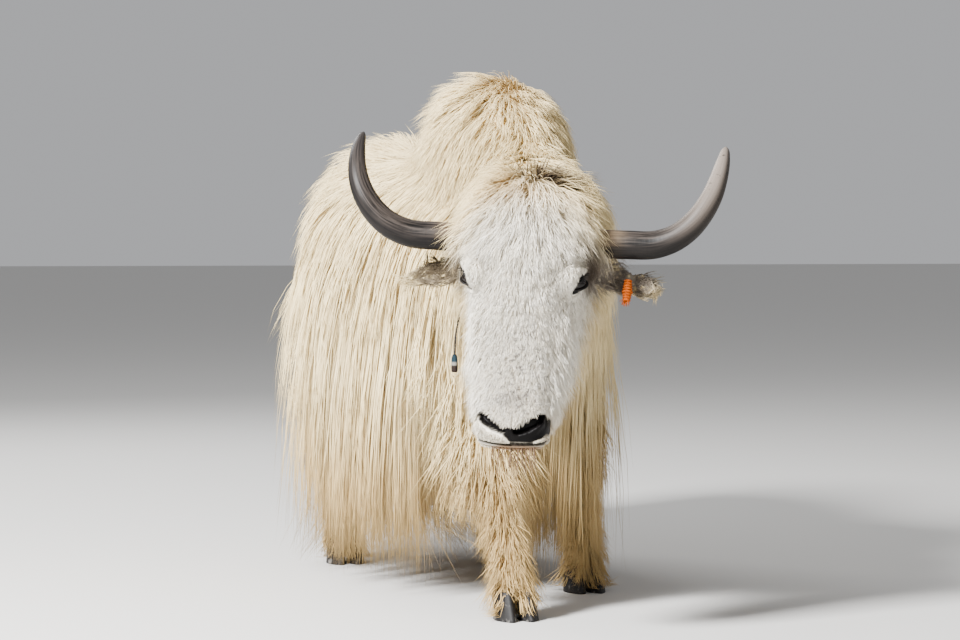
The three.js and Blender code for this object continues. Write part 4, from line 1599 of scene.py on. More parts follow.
    def _tail(self, roots: Roots) -> Growth:
        """Short on the dock and long on the brush.

        Args:
            roots: roots on the form.

        Returns:
            What grows there.
        """
        form, points = roots.form, roots.points
        lie = ways(0.0, 0.1, -1.0, len(points))
        if form == "dock":
            return Hair(120, 3.4, 0.3, 0.3, 0.5, 0.03, 8).at(lie)
        return Hair(np.clip(points[:, 2] - 230, 220, 470), 3.4, 0.12, 0.2, 0.4, 0.03, 11).at(lie)


@dataclass
class Coat:
    """Tufts of hair rooted on the skin, which share paths that fall along the body."""

    finish: Material
    skin: Skin
    plan: CoatPlan = field(default_factory=CoatPlan)
    triangles: int = 1_470_000
    piece_limit: int = 190_000
    tufts_per_path: int = 10
    shared_paths: int = 3
    short: float = 0.034
    long: float = 0.180
    lowest: float = 0.012
    patch: float = 0.003
    margin: float = 0.012
    taper: tuple[float, ...] = (0.8, 1.0, 0.95, 0.8, 0.5)
    pieces: list[Object] = field(default_factory=list)

    def __post_init__(self) -> None:
        """Prepares the random draw and the labels of the skin's forms."""
        self.random = np.random.default_rng(SEED)
        points, labels, places, angles = [], [], [], []
        for index, form in enumerate(self.skin.forms):
            spots, place, angle = form.grid()
            points.append(LAYOUT.placed(spots))
            labels.append(np.full(len(spots), index))
            places.append((place - form.first) / (form.last - form.first))
            angles.append(np.degrees(angle))
        self.form_labels = np.concatenate(labels)
        self.form_places = np.concatenate(places)
        self.form_angles = np.concatenate(angles)
        self.near = KDTree(len(self.form_labels))
        for i, point in enumerate(np.concatenate(points)):
            self.near.insert(point, i)
        self.near.balance()

    def _growth(self, points: Array, nearest: Array) -> Growth:
        """What grows at each root, by the form it is on.

        Args:
            points: roots in the frame.
            nearest: the nearest point of the forms to each.

        Returns:
            The growth.
        """
        layout_points = (points - LAYOUT.shift) / MM
        whole = Growth.blank(len(points))
        for index, form in enumerate(self.skin.forms):
            mine = self.form_labels[nearest] == index
            if mine.any():
                places, angles = self.form_places[nearest[mine]], self.form_angles[nearest[mine]]
                roots = Roots(form.name, layout_points[mine], places, angles)
                whole.put(mine, self.plan.growth(roots))
        return whole

    def _roots(self) -> tuple[Array, Array, Array, Growth]:
        """Draws the roots of all tufts over the skin.

        Returns:
            Roots, outward directions, nearest form points and growth.
        """
        mesh = self.skin.piece.data
        numbers = np.empty(len(mesh.loop_triangles) * 3, np.int32)
        mesh.loop_triangles.foreach_get("vertices", numbers)
        corners = positions(mesh)[numbers.reshape(-1, 3)]
        cross = np.cross(corners[:, 1] - corners[:, 0], corners[:, 2] - corners[:, 0])
        area = np.linalg.norm(cross, axis=1) / 2
        centres = corners.mean(1)
        nearest = np.array([self.near.find(point)[1] for point in centres])
        growth = self._growth(centres, nearest)
        weight = area * growth.layers / (growth.width * growth.length) * self._shown(centres, unit(cross))
        scale = self.triangles / (weight * (6 * self._levels(growth.length) - 2)).sum()
        weight *= scale
        count = int(weight.sum())
        chosen = self.random.choice(len(weight), count, p=weight / weight.sum())
        a, b = self.random.random((2, count))
        flip = a + b > 1
        a, b = np.where(flip, 1 - a, a)[:, None], np.where(flip, 1 - b, b)[:, None]
        base, first, second = corners[chosen, 0], corners[chosen, 1], corners[chosen, 2]
        roots = base + (first - base) * a + (second - base) * b
        LOG.info("coat: %d tufts, %.2f of the planned layers", count, scale)
        return roots, unit(cross)[chosen], nearest[chosen], self._growth(roots, nearest[chosen])

    def _shown(self, centres: Array, outs: Array) -> Array:
        """Which triangles of the skin another part covers.

        Args:
            centres: middles of the triangles.
            outs: directions out of them.

        Returns:
            1 where a triangle is open to the air and 0 where it is covered.
        """
        shown = np.ones(len(centres))
        for i, (centre, out) in enumerate(zip(centres, outs)):
            hit = self.skin.tree.ray_cast(Vector(centre + out * 0.002), Vector(out), 0.25)
            if hit[0] is not None and Vector(out).dot(hit[1]) > 0.05:
                shown[i] = 0.0
        return shown

    def _levels(self, length: Array) -> Array:
        """Rings of a tuft by its length."""
        return np.where(length < self.short, 2, np.where(length < self.long, 3, 4))

    def _paths(self, roots: Array, outs: Array, growth: Growth, steps: int) -> Array:
        """Shared paths, which fall along the body and stay outside it.

        Args:
            roots: where the paths start.
            outs: directions out of the skin there.
            growth: what grows there.
            steps: number of steps.

        Returns:
            Points of each path, from the root to the tip.
        """
        sink = np.minimum(growth.length * 0.08, 0.006)
        spot = roots - outs * sink[:, None]
        lie = growth.lie - outs * np.sum(growth.lie * outs, 1, keepdims=True)
        stray = self.random.normal(0, 1, roots.shape) * (0.05 + growth.curl * 2.2)[:, None]
        way = unit(unit(lie) + outs * growth.lift[:, None] + stray)
        clear = self.random.uniform(0.15, 1.0, len(roots)) * growth.loft
        lines = [spot]
        step = (growth.length + sink) / steps
        for level in range(steps):
            spot = spot + way * step[:, None]
            keep = 0.002 + clear * (level + 1) / steps
            for i in range(len(spot)):
                found, normal, _, _ = self.skin.tree.find_nearest(Vector(spot[i]))
                height = (Vector(spot[i]) - found).dot(normal)
                if height < keep[i]:
                    spot[i] += np.array(normal) * (keep[i] - height)
            spot[:, 2] = np.maximum(spot[:, 2], self.lowest)
            way = unit(spot - lines[-1])
            way = unit(way + DOWN * growth.fall[:, None] + self.random.normal(0, 0.05, roots.shape))
            lines.append(spot)
        return np.stack(lines, 1)

    def _shared(
        self, roots: Array, outs: Array, growth: Growth, steps: int
    ) -> tuple[Array, ...]:
        """Blends the paths nearest to each root.

        Args:
            roots: where the tufts start.
            outs: directions out of the skin there.
            growth: what grows there.
            steps: number of steps of a path.

        Returns:
            The blended paths, each root's offset from its path, the length of the path and a clump tone.
        """
        count = len(roots)
        paths = max(self.shared_paths, count // self.tufts_per_path)
        picked = self.random.choice(count, paths, replace=False)
        lines = self._paths(roots[picked], outs[picked], growth.of(picked), steps)
        tree = KDTree(len(picked))
        for i, point in enumerate(roots[picked]):
            tree.insert(point, i)
        tree.balance()
        found = [tree.find_n(point, self.shared_paths) for point in roots]
        index = np.array([[f[1] for f in few] for few in found])
        away = np.array([[f[2] for f in few] for few in found])
        alike = np.sum(outs[:, None, :] * outs[picked][index], 2)
        share = np.maximum(alike, 0.02) / (away + 0.001) ** 2.2
        share /= share.sum(1, keepdims=True)
        path = np.einsum("ij,ijkl->ikl", share, lines[index])
        start = np.einsum("ij,ijk->ik", share, roots[picked][index])
        span = np.einsum("ij,ij->i", share, growth.length[picked][index])
        tone = self.random.random(len(picked))[index[:, 0]]
        return path, roots - start, span, tone

    def _tufts(
        self, roots: Array, outs: Array, growth: Growth, levels: int
    ) -> tuple[Array, Array]:
        """Points of all tufts of one kind: three corners on each ring and a tip.

        Args:
            roots: where the tufts start.
            outs: directions out of the skin there.
            growth: what grows there.
            levels: rings of each tuft.

        Returns:
            An array of tufts, points and coordinates, and the tone of each tuft.
        """
        count, steps = len(roots), levels + 1
        line, offset, span, clump_tone = self._shared(roots, outs, growth, steps)
        share = np.linspace(0, 1, steps)
        reach = np.minimum(growth.length / span * self.random.uniform(0.82, 1.02, count), 1.0)
        at = np.clip(share[None, :] * reach[:, None] * steps, 0, steps - 1e-6)
        low = at.astype(int)
        rows = np.arange(count)[:, None]
        blend = (at - low)[:, :, None]
        path = line[rows, low] * (1 - blend) + line[rows, np.minimum(low + 1, steps)] * blend
        draw = growth.clump * self.random.uniform(0.3, 1.2, count)
        drawn = 1 - np.minimum(draw, 0.95)[:, None] * share[None, :] ** 1.2
        path = path + offset[:, None, :] * drawn[:, :, None]
        tangent = unit(np.gradient(path, axis=1))
        side = unit(np.cross(tangent, outs[:, None, :]) + np.array([0.01, 0.0, 0.0]))
        face = np.cross(side, tangent)
        stray = (growth.length * growth.curl)[:, None] * share[None, :] ** 1.5
        turn = self.random.uniform(0, 2 * math.pi, (count, 2))
        swing = self.random.normal(0, 1.4, (count, 2))
        for direction, k in ((side, 0), (face, 1)):
            wave = np.sin(share * 6 + turn[:, k : k + 1]) * 0.6 + swing[:, k : k + 1]
            path = path + direction * (wave * stray)[:, :, None]
        low_corner, high_corner = (np.array(tuple(corner)) for corner in CAD_BOX)
        path = np.clip(path, low_corner - self.margin, high_corner + self.margin)
        path[:, :, 2] = np.maximum(path[:, :, 2], self.lowest)
        taper = np.interp(np.linspace(0, 1, levels), np.linspace(0, 1, len(self.taper)), self.taper)
        width = growth.width * self.random.uniform(0.6, 1.4, count)
        wide = width[:, None, None] * taper[None, :, None] * 0.5
        rings, side, face = path[:, :levels], side[:, :levels] * wide, face[:, :levels] * wide
        corners = np.stack([rings - side - face * 0.2, rings + face * 0.6, rings + side - face * 0.2], 2)
        made = np.concatenate([corners.reshape(count, levels * 3, 3), path[:, levels:]], 1)
        made[:, :, 2] = np.maximum(made[:, :, 2], self.lowest - 0.002)
        return made, 0.55 * self.random.random(count) + 0.45 * clump_tone

    def _atlas(self, nearest: Array) -> Array:
        """The forms unwrapped side by side, by angle and place."""
        columns = len(self.skin.forms)
        u = (self.form_labels[nearest] + 0.04 + 0.92 * self.form_angles[nearest] / 360) / columns
        return np.stack([u, 0.02 + 0.95 * self.form_places[nearest]], 1)

    def _mesh(self, name: str, tufts: Array, tones: Array, atlas: Array) -> Object:
        """One piece of the coat from its tufts.

        Args:
            name: name of the piece.
            tufts: points of each tuft.
            tones: tone of each tuft.
            atlas: place of each root on the unwrap.

        Returns:
            The piece.
        """
        count, points = tufts.shape[:2]
        levels = (points - 1) // 3
        last = (levels - 1) * 3
        walls = tube_walls(levels - 1, 3)
        ends = [(0, 2, 1)] + [(last + c, last + (c + 1) % 3, last + 3) for c in range(3)]
        loops = np.array([i for wall in walls + ends for i in wall])
        sizes = np.array([len(wall) for wall in walls + ends])
        starts = np.concatenate([[0], np.cumsum(sizes)[:-1]])
        mesh = bpy.data.meshes.new(name)
        mesh.vertices.add(count * points)
        mesh.vertices.foreach_set("co", tufts.astype(np.float32).ravel())
        mesh.loops.add(count * len(loops))
        order = (loops[None, :] + np.arange(count)[:, None] * points).ravel()
        mesh.loops.foreach_set("vertex_index", order.astype(np.int32))
        mesh.polygons.add(count * len(sizes))
        begin = (starts[None, :] + np.arange(count)[:, None] * len(loops)).ravel()
        mesh.polygons.foreach_set("loop_start", begin.astype(np.int32))
        mesh.update(calc_edges=True)
        mesh.polygons.foreach_set("use_smooth", np.ones(len(mesh.polygons), bool))
        ring = np.minimum(np.arange(points) // 3, levels)
        for label, values in (("along", np.tile(ring / levels, count)), ("tone", np.repeat(tones, points))):
            mesh.attributes.new(label, "FLOAT", "POINT").data.foreach_set("value", values.astype(np.float32))
        inside = np.stack([(np.arange(points) % 3) / 3, ring / levels], 1) * self.patch
        uv = (atlas[:, None, :] + inside[None, :, :])[:, loops, :].reshape(-1, 2)
        mesh.uv_layers.new(name="OFBake").data.foreach_set("uv", uv.astype(np.float32).ravel())
        mesh.materials.append(self.finish)
        return object_from(name, mesh)

    def build(self) -> list[Object]:
        """Makes the coat in pieces of few enough triangles.

        Returns:
            The pieces.
        """
        roots, outs, nearest, growth = self._roots()
        kinds = self._levels(growth.length)
        for kind in sorted(set(kinds.tolist())):
            mine = np.flatnonzero(kinds == kind)
            mine = mine[np.argsort(roots[mine, 1])]
            tufts, tones = self._tufts(roots[mine], outs[mine], growth.of(mine), kind)
            atlas = self._atlas(nearest[mine])
            size = self.piece_limit // (6 * kind - 2)
            for number, start in enumerate(range(0, len(mine), size), 1):
                few = slice(start, start + size)
                self.pieces.append(self._mesh(f"coat_{kind}_{number}", tufts[few], tones[few], atlas[few]))
        return self.pieces


# Threads from Geometry Nodes


class ThreadTree:
    """A Geometry Nodes tree that turns a line of points into a solid thread, winding or cord."""

    def __init__(self, name: str, inputs: dict[str, tuple[str, Any]]) -> None:
        """Makes the tree.

        Args:
            name: name of the tree.
            inputs: socket type and value of each named input.
        """
        self.tree = bpy.data.node_groups.new(name, "GeometryNodeTree")
        self.values: dict[str, Any] = {}
        self.tree.interface.new_socket("Geometry", in_out="INPUT", socket_type="NodeSocketGeometry")
        for label, (kind, value) in inputs.items():
            socket = self.tree.interface.new_socket(label, in_out="INPUT", socket_type=kind)
            self.values[socket.identifier] = value
        self.tree.interface.new_socket("Geometry", in_out="OUTPUT", socket_type="NodeSocketGeometry")
        self.start = self.tree.nodes.new("NodeGroupInput")
        self.end = self.tree.nodes.new("NodeGroupOutput")

    def given(self, label: str) -> bpy.types.NodeSocket:
        """An input of the tree."""
        return self.start.outputs[label]

    def node(
        self, kind: str, settings: dict[str, Any], values: dict[Any, Any], output: Union[int, str] = 0
    ) -> Any:
        """Adds any node and returns one of its outputs.

        Args:
            kind: type of the node.
            settings: its own settings.
            values: values or sockets to link, by name or number.
            output: the output that is returned.

        Returns:
            The output socket.
        """
        made = self.tree.nodes.new(kind)
        for setting, value in settings.items():
            setattr(made, setting, value)
        for key, value in values.items():
            if isinstance(value, bpy.types.NodeSocket):
                self.tree.links.new(value, made.inputs[key])
            else:
                made.inputs[key].default_value = value
        return made.outputs[output]

    def maths(self, operation: str, *values: Any) -> Any:
        """A Math node."""
        return self.node("ShaderNodeMath", {"operation": operation}, dict(enumerate(values)))

    def vectors(self, operation: str, *values: Any) -> Any:
        """A Vector Math node."""
        return self.node("ShaderNodeVectorMath", {"operation": operation}, dict(enumerate(values)))

    def scaled(self, vector: Any, by: Any) -> Any:
        """A vector times a number."""
        return self.node("ShaderNodeVectorMath", {"operation": "SCALE"}, {0: vector, "Scale": by})

    def circle(self, sides: int, radius: Any) -> Any:
        """A ring of straight pieces."""
        return self.node("GeometryNodeCurvePrimitiveCircle", {}, {"Resolution": sides, "Radius": radius})

    def girth(self) -> Any:
        """The thickness that is kept on each point of the line."""
        return self.node("GeometryNodeInputNamedAttribute", {"data_type": "FLOAT"}, {"Name": "girth"})

    def curve(self) -> Any:
        """The line as a curve."""
        return self.node("GeometryNodeMeshToCurve", {}, {"Mesh": self.given("Geometry")})

    def swept(self, curve: Any, radius: Any, sides: int) -> Any:
        """A round solid along a curve."""
        profile = self.circle(sides, radius)
        values = {"Curve": curve, "Profile Curve": profile, "Scale": self.girth(), "Fill Caps": True}
        return self.node("GeometryNodeCurveToMesh", {}, values)

    def finished(self, geometry: Any, material: Material) -> "ThreadTree":
        """Ends the tree in real, coloured geometry.

        Args:
            geometry: what the tree makes.
            material: its material.

        Returns:
            The tree itself.
        """
        real = self.node("GeometryNodeRealizeInstances", {}, {"Geometry": geometry})
        coloured = self.node("GeometryNodeSetMaterial", {}, {"Geometry": real, "Material": material})
        self.tree.links.new(coloured, self.end.inputs[0])
        return self

    def applied(self, name: str, lines: Sequence[tuple[Array, Any]]) -> Object:
        """A plain object from lines of points.

        Args:
            name: name of the object.
            lines: points in frame metres and girth of each line.

        Returns:
            The object, with no modifier.
        """
        points, edges, girths = [], [], []
        for line, girth in lines:
            start = len(points)
            points += [tuple(p) for p in line]
            edges += [(start + i, start + i + 1) for i in range(len(line) - 1)]
            girths += list(np.ones(len(line)) * girth)
        mesh = bpy.data.meshes.new(name)
        mesh.from_pydata(points, edges, [])
        mesh.attributes.new("girth", "FLOAT", "POINT").data.foreach_set("value", np.array(girths, np.float32))
        work = object_from(name, mesh)
        modifier = work.modifiers.new("threads", "NODES")
        modifier.node_group = self.tree
        for identifier, value in self.values.items():
            modifier[identifier] = value
        solid = evaluated(work)
        solid.polygons.foreach_set("use_smooth", np.ones(len(solid.polygons), bool))
        return object_from(name, solid)


def thin_threads(material: Material, radius: float) -> ThreadTree:
    """A tree for bristles: each line becomes a thin round hair."""
    tree = ThreadTree("bristles", {"Radius": ("NodeSocketFloat", radius)})
    return tree.finished(tree.swept(tree.curve(), tree.given("Radius"), 5), material)


def winding(material: Material, thread: float, turns: int) -> ThreadTree:
    """A tree for wound thread: rings of thread packed along the line, each a little off size.

    Args:
        material: the thread's material.
        thread: its radius over that of the ring.
        turns: number of rings.

    Returns:
        The tree.
    """
    inputs = {
        "Thread": ("NodeSocketFloat", thread),
        "Turns": ("NodeSocketInt", turns),
        "Seed": ("NodeSocketInt", SEED),
    }
    tree = ThreadTree("winding", inputs)
    points = tree.node("GeometryNodeCurveToPoints", {}, {"Curve": tree.curve(), "Count": tree.given("Turns")})
    turned = points.node.outputs["Rotation"]
    ring, profile = tree.circle(28, 1.0), tree.circle(7, tree.given("Thread"))
    hoop = tree.node("GeometryNodeCurveToMesh", {}, {"Curve": ring, "Profile Curve": profile, "Scale": 1.0})
    chance = tree.node("FunctionNodeRandomValue", {}, {2: 0.93, 3: 1.05, "Seed": tree.given("Seed")}, 1)
    size = tree.maths("MULTIPLY", tree.girth(), chance)
    values = {"Points": points, "Instance": hoop, "Rotation": turned, "Scale": size}
    return tree.finished(tree.node("GeometryNodeInstanceOnPoints", {}, values), material)


def twisted(material: Material, radius: float, pitch: float, strands: int = 3) -> ThreadTree:
    """A tree for laid cord: strands that turn round the line.

    Args:
        material: the cord's material.
        radius: radius of a strand in metres.
        pitch: metres for one turn.
        strands: number of strands.

    Returns:
        The tree.
    """
    turn = 2 * math.pi / pitch
    inputs = {"Radius": ("NodeSocketFloat", radius), "Turn per metre": ("NodeSocketFloat", turn)}
    tree = ThreadTree("laid cord", inputs)
    curve = tree.curve()
    gone = tree.node("GeometryNodeSplineParameter", {}, {}, "Length")
    tangent = tree.node("GeometryNodeInputTangent", {}, {})
    normal = tree.node("GeometryNodeInputNormal", {}, {})
    across = tree.vectors("CROSS_PRODUCT", tangent, normal)
    wave = tree.maths("MULTIPLY", gone, tree.given("Turn per metre"))
    axes = (("COSINE", normal), ("SINE", across))
    joined = tree.tree.nodes.new("GeometryNodeJoinGeometry")
    for strand in range(strands):
        angle = tree.maths("ADD", wave, 2 * math.pi * strand / strands)
        parts = [tree.scaled(axis, tree.maths(operation, angle)) for operation, axis in axes]
        offset = tree.scaled(tree.vectors("ADD", *parts), tree.given("Radius"))
        moved = tree.node("GeometryNodeSetPosition", {}, {"Geometry": curve, "Offset": offset})
        tree.tree.links.new(tree.swept(moved, tree.given("Radius"), 7), joined.inputs[0])
    return tree.finished(joined.outputs[0], material)


@dataclass
class NeckCord:
    """The cord round the neck, the string at its right side and the bound tag that hangs from it."""

    cord: Material
    tag: Material
    place: float = 3.7
    radius: float = 5.0
    angle: float = math.radians(-26)
    drop: float = 155.0
    sink: float = 14.0
    out: float = 44.0
    strand: float = 2.3
    cord_pitch: float = 24.0
    string_strand: float = 1.3
    string_pitch: float = 12.0
    tag_sizes: tuple[Place, ...] = (
        (0, 4.4, 4), (6, 6.6, 5), (14, 8.2, 5.6), (28, 8.8, 5.8), (36, 8.4, 5.4), (38, 6, 4)
    )

    def build(self) -> list[Object]:
        """Makes the cord, the string, the tag and its binding.

        Returns:
            The four pieces in that order.
        """
        neck = LAYOUT.neck()
        angles = np.linspace(0, 2 * math.pi, 220)
        places = np.full(len(angles), self.place)
        ring = neck.surface(places, angles) - neck.outward(places, angles) * self.sink
        tree = twisted(self.cord, self.strand * MM, self.cord_pitch * MM)
        cord = tree.applied("laid_cord", [(LAYOUT.placed(ring), 1.0)])
        spot, angle = np.array([self.place]), np.array([self.angle])
        x, y, z = (neck.surface(spot, angle) + neck.outward(spot, angle) * self.radius * 2.2)[0]
        start = (neck.surface(spot, angle) - neck.outward(spot, angle) * self.sink)[0]
        low = z - self.drop
        stops = [
            (0, *start),
            (1, x - self.out * 0.5, y, z - self.drop * 0.28),
            (2, x - self.out * 0.9, y, z - self.drop * 0.66),
            (3, x - self.out, y, low),
        ]
        route = track(stops, np.linspace(0, 3, 60))
        tree = twisted(self.cord, self.string_strand * MM, self.string_pitch * MM, 2)
        string = tree.applied("string", [(LAYOUT.placed(route), 1.0)])
        rows = tuple(
            (ring, x - self.out, y, low - down, wide, deep, deep, 2.5)
            for ring, (down, wide, deep) in enumerate(self.tag_sizes)
        )
        body = mesh_from_shells("tag", [Form("tag", rows, (-1, -0.3, 0), Matrix(), 24, 28).shell()])
        body.materials.append(self.tag)
        core = np.array([(x - self.out, y, low - down) for down in np.linspace(1, 13, 12)])
        girth = np.linspace(4.2, 6.2, 12) * MM
        bound = winding(self.tag, 0.17, 9).applied("tag_binding", [(LAYOUT.placed(core), girth)])
        return [cord, string, object_from("tag_body", body), bound]


@dataclass
class EarYarn:
    """Wool wound into a tassel on the left ear."""

    wool: Material
    top: Place = (208, 34, -186)
    length: float = 42
    radius: float = 10

    def build(self) -> list[Object]:
        """Makes the windings, their core and the loose ends.

        Returns:
            The core, the windings and the ends.
        """
        x, y, z = self.top
        share = np.linspace(0, 1, 24)
        core = np.array([LAYOUT.on_head(x, y, z - s * self.length) for s in share])
        girth = self.radius * (0.66 + 0.24 * np.sin(math.pi * share)) * MM
        wound = winding(self.wool, 0.27, 8).applied("wool_windings", [(core, girth)])
        inner = girth / MM * 0.9
        rows = tuple((i, x, y, z - s * self.length, g, g, g, 2) for i, (s, g) in enumerate(zip(share, inner)))
        mesh = mesh_from_shells("wool", [Form("wool", rows, (0, -1, 0), LAYOUT.head_pose, 23, 20).shell()])
        mesh.materials.append(self.wool)
        random = np.random.default_rng(SEED)
        ends = []
        for _ in range(26):
            side, fore = random.normal(0, 0.35, 2) * self.radius
            reach = random.uniform(6, 15)
            foot = z - self.length + 2
            bent = [(x + side * (1 + t), y + fore * (1 + t), foot - reach * t) for t in np.linspace(0, 1, 5)]
            ends.append((np.array([LAYOUT.on_head(*p) for p in bent]), np.linspace(1, 0.5, 5)))
        loose = thin_threads(self.wool, 0.0009).applied("wool_ends", ends)
        return [object_from("wool_core", mesh), wound, loose]


@dataclass
class Bristles:
    """Whiskers of the lips and lashes of the upper lids."""

    skin: Skin
    tan: Material
    dark: Material
    whiskers: int = 36
    lashes: int = 15

    def _line(
        self, root: Array, way: Array, length: float, sag: float
    ) -> tuple[Array, Array]:
        """One bristle that sags and tapers."""
        share = np.linspace(0, 1, 6)[:, None]
        line = root + way * length * (share - 0.06) + DOWN * sag * length * share**2
        return line, np.linspace(1.0, 0.25, 6)

    def _whiskers(self) -> Object:
        """Tan whiskers that hang from the lower lip.

        Returns:
            The piece.
        """
        random = np.random.default_rng(SEED + 1)
        lines = []
        for _ in range(self.whiskers):
            across = random.uniform(-38, 52)
            spot = LAYOUT.on_head(across, -24 + random.uniform(-4, 10), -574)
            root, out = self.skin.settled(np.array([spot]))
            way = unit(out[0] * 0.7 + DOWN * 0.8 + random.normal(0, 0.14, 3))
            lines.append(self._line(root[0], way, random.uniform(0.03, 0.06), 0.25))
        return thin_threads(self.tan, 0.0012).applied("whiskers", lines)

    def _lashes(self) -> Object:
        """Dark lashes that fan out over the eyes.

        Returns:
            The piece.
        """
        random = np.random.default_rng(SEED + 2)
        lines = []
        for side in Side:
            centre, length, across, out = EYE_SLITS[side].axes()
            up = across * -side.value
            for along in np.linspace(-18, 15, self.lashes):
                height = FACE.lids(np.array([along]))[0][0]
                front = math.sqrt(max(21.5**2 - along**2, 30))
                root = centre + length * along + up * (height + 2) + out * front
                way = unit(out * 0.8 + up * 0.1 + length * along * 0.012 + random.normal(0, 0.08, 3))
                foot, way = np.array(LAYOUT.on_head(*root)), rotated(way, LAYOUT.head_pose)
                lines.append(self._line(foot, way, random.uniform(0.010, 0.017), 0.35))
        return thin_threads(self.dark, 0.00055).applied("lashes", lines)

    def build(self) -> list[Object]:
        """Makes whiskers and lashes."""
        return [self._whiskers(), self._lashes()]


# Head pieces


@dataclass
class Horn:
    """One horn along its middle line."""

    side: Side
    finish: Material
    radius: float = 31
    rings: int = 120
    sides: int = 32
    line: tuple[Place, ...] = (
        (95, 10, -112),
        (150, 11, -114),
        (201, 11, -114),
        (266, 6, -111),
        (303, -3, -98),
        (333, -12, -76),
        (357, -20, -46),
        (374, -22, -11),
        (384, -16, 27),
        (389, 0, 64),
        (391, 22, 98),
        (391, 46, 124),
    )
    girth: Stops = ((0, 1), (0.35, 0.98), (0.55, 0.84), (0.75, 0.64), (0.9, 0.42), (0.97, 0.24), (1, 0.06))

    def build(self) -> Object:
        """Makes the horn along its line.

        Returns:
            The piece.
        """
        line = np.array(self.line, float) * [self.side.value, 1, 1]
        gone = np.concatenate([[0], np.cumsum(np.linalg.norm(np.diff(line, axis=0), axis=1))])
        share = gone / gone[-1]
        spine = np.column_stack([share, line])
        at = np.linspace(0, 1, self.rings + 1)
        centres = track(spine, at)
        radii = track(self.girth, at)[:, 0] * self.radius * 0.985
        rows = tuple((a, *c, r, r * 0.93, r * 0.93, 2.0) for a, c, r in zip(at, centres, radii))
        form = Form("horn", rows, (0, -1, 0.2), LAYOUT.head_pose, self.rings, self.sides)
        mesh = mesh_from_shells("horn_" + self.side.word, [form.shell()])
        self._unwrapped(mesh)
        mesh.materials.append(self.finish)
        return object_from("horn_shape_" + self.side.word, mesh)

    def _unwrapped(self, mesh: Mesh) -> None:
        """Adds a map with the place along the horn and the turn round it.

        Args:
            mesh: the horn's mesh.
        """
        layer = mesh.uv_layers.new(name="Horn")
        values = np.zeros((len(mesh.loops), 2), np.float32)
        for face in mesh.polygons:
            turns = [mesh.loops[i].vertex_index % self.sides for i in face.loop_indices]
            wraps = max(turns) - min(turns) > self.sides / 2
            for i, turn in zip(face.loop_indices, turns):
                ring = mesh.loops[i].vertex_index // self.sides
                turned = turn + self.sides if wraps and turn < self.sides / 2 else turn
                values[i] = (ring / self.rings, turned / self.sides)
        layer.data.foreach_set("uv", values.ravel())


@dataclass
class Eye:
    """An eyeball with the rims of its lids."""

    side: Side
    finish: Material
    rim: Material

    def build(self) -> list[Object]:
        """Makes the ball and the two lid rims.

        Returns:
            The eyeball and the rims.
        """
        s = self.side.value
        x, y, z = LAYOUT.eye_place
        ball = Ball((LAYOUT.eye_radius,) * 3, (s * x, y, z), (0, 0, 0), LAYOUT.head_pose, 5)
        mesh = mesh_from_shells("eye_" + self.side.word, [ball.shell()])
        mesh.materials.append(self.finish)
        eye = object_from("eyeball_" + self.side.word, mesh)
        rims = mesh_from_shells("lids_" + self.side.word, [self._lid(0), self._lid(1)])
        rims.materials.append(self.rim)
        return [eye, object_from("lids_" + self.side.word, rims)]

    def _lid(self, which: int) -> Shell:
        """A rounded rim along one edge of the opening.

        Args:
            which: 0 for the upper lid and 1 for the lower.

        Returns:
            Its points and faces.
        """
        centre, length, across, out = EYE_SLITS[self.side].axes()
        half = FACE.eye_half
        along = np.linspace(-half, half, 33)
        height = FACE.lids(along)[which] * -self.side.value
        radius = LAYOUT.eye_radius + 2.2
        front = np.sqrt(np.maximum(radius**2 - along**2 - height**2, 4.0))
        spine = centre + along[:, None] * length + height[:, None] * across + front[:, None] * out
        thick = 3.0 * np.sqrt(np.clip(1 - (along / half) ** 2, 0.05, 1))
        rows = tuple((float(i), *p, t * 0.8, t, t, 2.0) for i, (p, t) in enumerate(zip(spine, thick)))
        return Form("lid", rows, tuple(out), LAYOUT.head_pose, 32, 12).shell()


@dataclass
class Hooves:
    """The eight claws on their flat soles."""

    finish: Material
    length: float = 104
    width: float = 46
    height: float = 62
    offset: float = 26
    rings: int = 14
    sides: int = 40
    feet: Stops = ((-78, -672), (214, -262), (-200, 446), (190, 332))

    def _claw(self, x: float, y: float, side: Side) -> Shell:
        """One claw in layout millimetres.

        Args:
            x: middle of the foot across.
            y: middle of the foot along.
            side: which claw of the foot.

        Returns:
            Its points and faces.
        """
        downs = np.linspace(0, 1, self.rings + 1)
        angles = np.linspace(0, 2 * math.pi, self.sides, endpoint=False)
        down, angle = (a.ravel() for a in np.meshgrid(downs, angles, indexing="ij"))
        across, fore = np.sin(angle), -np.cos(angle)
        length = (0.62 + 0.38 * down) * self.length / 2
        width = (0.8 + 0.2 * down) * self.width / 2
        toe = np.maximum(-fore, 0)
        points = np.stack(
            [
                x + across * width * (1 - 0.35 * toe**2) + side.value * (self.offset - 4 * toe),
                y + fore * length - 14 * down,
                (1 - down) * (self.height - np.where(fore > 0, 16 * fore, 0)),
            ],
            1,
        )
        sole = range(self.rings * self.sides, (self.rings + 1) * self.sides)
        faces = tube_walls(self.rings, self.sides) + [tuple(range(self.sides)), tuple(sole)]
        return list(points), faces

    def build(self) -> Object:
        """Makes all claws as one piece."""
        mesh = mesh_from_shells("hooves", [self._claw(x, y, side) for x, y in self.feet for side in Side])
        mesh.materials.append(self.finish)
        return object_from("hooves", mesh)


# Stage


